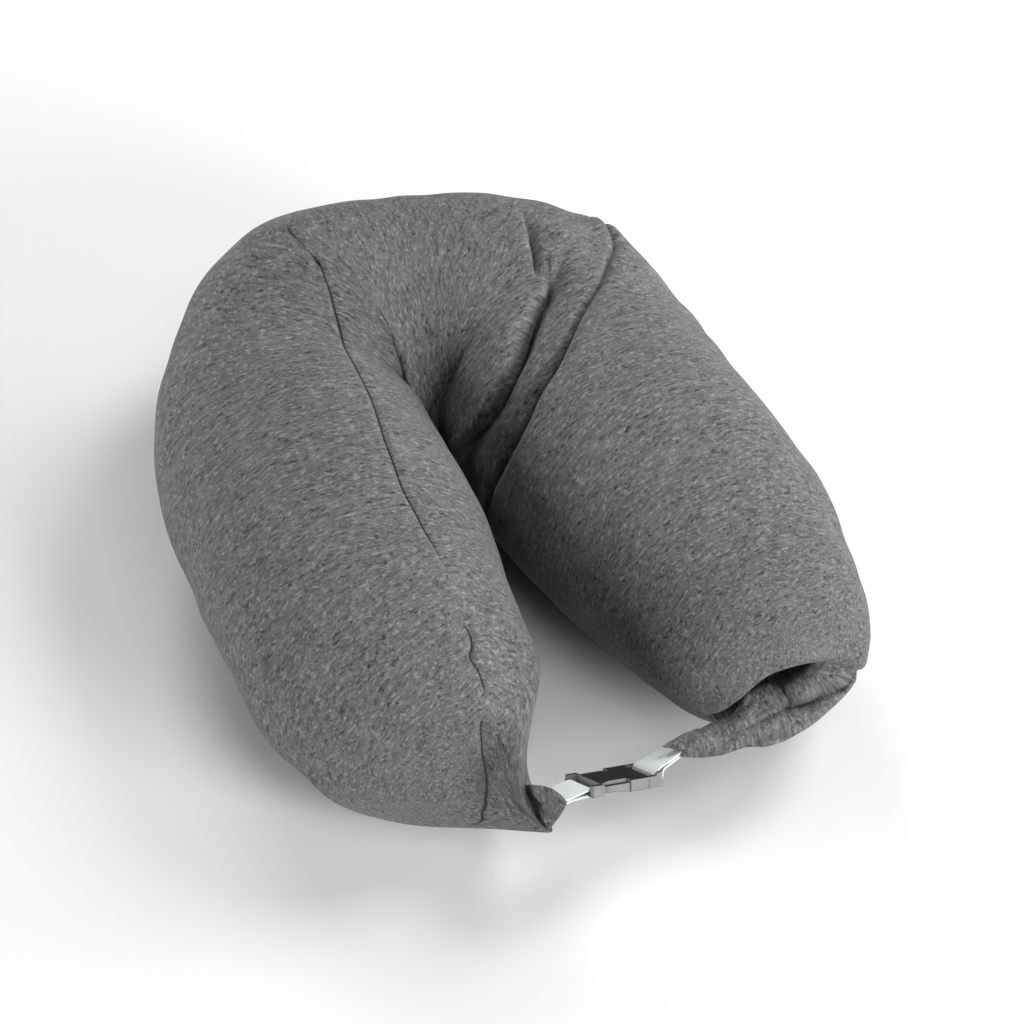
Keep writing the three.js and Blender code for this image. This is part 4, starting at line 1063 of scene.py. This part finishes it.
def strap(name, node, rows, thick):
    """Flat webbing through pairs of points of its two edges (x, y, z each, in the buckle's own frame)."""
    c = catmull(C(*rows), 110)
    far, near = c[:, :3], c[:, 3:]
    mid = (far + near) / 2
    t = np.gradient(mid, axis=0); t /= np.linalg.norm(t, axis=1, keepdims=True)
    wide = near - far
    width = np.linalg.norm(wide, axis=1)
    nrm = np.cross(t, wide / width[:, None]); nrm /= np.linalg.norm(nrm, axis=1, keepdims=True)
    cum = np.concatenate([[0], np.cumsum(np.linalg.norm(np.diff(mid, axis=0), axis=1))])
    edge = thick / 2
    sect = []  # (share across, rest across, out) round the flat section
    for s in np.linspace(0, 1, 21):
        sect.append((s, edge * (1 - 2 * s), edge))
    for a in (60, 30, 0, -30, -60):
        sect.append((1, -edge + edge * math.cos(math.radians(a)), edge * math.sin(math.radians(a))))
    for s in np.linspace(1, 0, 21):
        sect.append((s, edge * (1 - 2 * s), -edge))
    for a in (240, 210, 180, 150, 120):
        sect.append((0, edge + edge * math.cos(math.radians(a)), edge * math.sin(math.radians(a))))
    sect = np.array(sect)
    m, n = len(sect), len(c)
    unit = wide / width[:, None]
    verts = (far[:, None] + wide[:, None] * sect[None, :, :1] + unit[:, None] * sect[None, :, 1:2] + nrm[:, None] * sect[None, :, 2:])
    i, j = np.meshgrid(np.arange(n - 1), np.arange(m), indexing="ij")
    k = (j + 1) % m
    quads = np.stack([i * m + j, (i + 1) * m + j, (i + 1) * m + k, i * m + k], -1).reshape(-1, 4)
    vv = [tuple(a) for a in ((verts.reshape(-1, 3) @ POSE + BUCKLE_AT + OFF) / 1000)]
    faces = [tuple(int(b) for b in a) for a in quads]
    faces.append(tuple(range(m)))
    faces.append(tuple((n - 1) * m + j for j in reversed(range(m))))
    me = bpy.data.meshes.new(name)
    me.from_pydata(vv, [], faces)
    uvs = np.stack([np.broadcast_to(cum[:, None], (n, m)) / 100, np.broadcast_to(sect[None, :, 0] * 19.0, (n, m)) / 100], -1).reshape(-1, 2)
    loops = np.zeros(len(me.loops), np.int32); me.loops.foreach_get("vertex_index", loops)
    layer = me.uv_layers.new(name="flow")
    layer.data.foreach_set("uv", uvs[loops].astype(np.float32).ravel())
    for a in me.polygons:
        a.use_smooth = len(a.vertices) == 4
    ob = bpy.data.objects.new(name, me)
    bpy.context.scene.collection.objects.link(ob)
    bm = bmesh.new(); bm.from_mesh(me); bmesh.ops.recalc_face_normals(bm, faces=bm.faces); bm.to_mesh(me); bm.free()
    me.materials.append(WEB)
    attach(ob, "root"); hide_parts(node)
    return ob


strap("strap_left", "webbing_left", [
    (-34.6, 8.1, -1.8, -34.4, -9.3, -3.1), (-31.8, 8.3, -1.2, -31.8, -9.4, -2.4), (-26.0, 8.9, -0.1, -26.0, -9.5, -0.9),
    (-21.6, 9.3, 0.55, -21.6, -9.6, 0.3), (-20.1, 9.4, 0.5, -20.1, -9.6, 0.45), (-19.0, 9.4, -0.2, -19.0, -9.6, -0.2),
    (-18.75, 9.4, -1.1, -18.75, -9.6, -1.1), (-19.1, 9.4, -2.0, -19.1, -9.6, -2.0), (-20.4, 9.4, -2.55, -20.4, -9.6, -2.55),
    (-24.0, 9.1, -2.5, -24.0, -9.5, -2.75), (-31.0, 8.3, -2.9, -31.0, -9.5, -3.55), (-34.4, 8.0, -3.3, -34.2, -9.4, -4.4)],
    1.05)
strap("strap_right", "webbing_right", [
    (37.6, 9.9, 11.2, 38.4, -9.1, 14.6), (33.8, 9.8, 9.5, 34.2, -9.1, 12.0), (27.9, 9.4, 6.8, 26.2, -9.5, 8.2),
    (22.0, 9.3, 5.1, 21.0, -9.8, 6.3), (19.0, 9.3, 4.1, 18.6, -9.8, 4.5), (17.1, 9.3, 2.5, 17.1, -9.8, 2.6),
    (16.8, 9.3, 0.2, 16.8, -9.8, 0.2), (17.3, 9.3, -1.5, 17.3, -9.8, -1.5), (18.9, 9.3, -2.15, 18.9, -9.8, -2.15),
    (20.5, 9.3, -1.4, 20.5, -9.8, -1.3), (21.5, 9.3, 0.6, 21.4, -9.8, 0.9), (22.6, 9.3, 3.4, 22.2, -9.7, 4.2), (27.7, 9.4, 5.4, 26.2, -9.6, 6.7),
    (33.7, 9.7, 8.1, 34.2, -9.2, 10.5), (38.0, 9.8, 9.8, 38.9, -9.1, 13.1)],
    1.05)

# ------------------------------------------------------------------ floor, light, camera
me = bpy.data.meshes.new("floor")
me.from_pydata([(-6, -6, 0), (6, -6, 0), (6, 6, 0), (-6, 6, 0)], [], [(0, 1, 2, 3)])
floor = bpy.data.objects.new("floor", me)
bpy.context.scene.collection.objects.link(floor)
fm = bpy.data.materials.new("pale floor")
k = N(nodes_of(fm))
sh = k.new("ShaderNodeBsdfPrincipled")
tc = k.new("ShaderNodeTexCoord")
nz = k.noise(tc.outputs["Object"], 3.0, 3.0, 0.5).outputs["Fac"]
k.link(k.mix(nz, (0.61, 0.61, 0.61, 1), (0.63, 0.63, 0.63, 1)), sh.inputs["Base Color"])
sh.inputs["Roughness"].default_value = 0.9
sh.inputs["Specular IOR Level"].default_value = 0.1
out = k.new("ShaderNodeOutputMaterial")
k.link(sh.outputs[0], out.inputs[0])
me.materials.append(fm)

world = bpy.data.worlds.new("studio")
bpy.context.scene.world = world
world.use_nodes = True
bg = world.node_tree.nodes.get("Background") or world.node_tree.nodes.new("ShaderNodeBackground")
bg.inputs[0].default_value = (0.97, 0.985, 1.0, 1)
bg.inputs[1].default_value = 0.04


def area(name, at, look, size, power, colour=(1, 1, 1)):
    d = bpy.data.lights.new(name, "AREA")
    d.shape = "DISK"; d.size = size; d.energy = power; d.color = colour
    o = bpy.data.objects.new(name, d)
    bpy.context.scene.collection.objects.link(o)
    o.location = at
    o.rotation_mode = "QUATERNION"
    o.rotation_quaternion = (Vector(look) - Vector(at)).to_track_quat("-Z", "Y")
    return o


mid = (0.03, 0.03, 0.05)
area("top right", (1.5, 0.2, 1.8), mid, 1.0, 34)
area("front right", (0.9, -2.0, 0.8), mid, 1.2, 68)
area("right", (2.1, -0.2, 0.8), mid, 1.0, 20)
area("left", (-2.0, 0.15, 0.5), mid, 1.0, 40)
area("back", (0.2, 1.9, 1.4), mid, 1.0, 32)
area("high", (0.1, -1.1, 2.2), mid, 1.0, 12)

cam = bpy.data.objects.new("camera", bpy.data.cameras.new("camera"))
bpy.context.scene.collection.objects.link(cam)
el, az = math.radians(50), math.radians(-26)
back = Vector((math.sin(az) * math.cos(el), -math.cos(az) * math.cos(el), math.sin(el)))
right = Vector((math.cos(az), math.sin(az), 0))
up = back.cross(right)
target = Vector((OFF[0], OFF[1], 0)) / 1000
cam.matrix_world = Matrix(((right.x, up.x, back.x, 0), (right.y, up.y, back.y, 0), (right.z, up.z, back.z, 0), (0, 0, 0, 1)))
cam.location = target + back * 1.575
cam.data.sensor_width = 36
cam.data.lens = 36 * 2850 / 1024
cam.data.clip_start, cam.data.clip_end = 0.05, 50
bpy.context.scene.camera = cam
bpy.context.scene.view_settings.view_transform = "Standard"
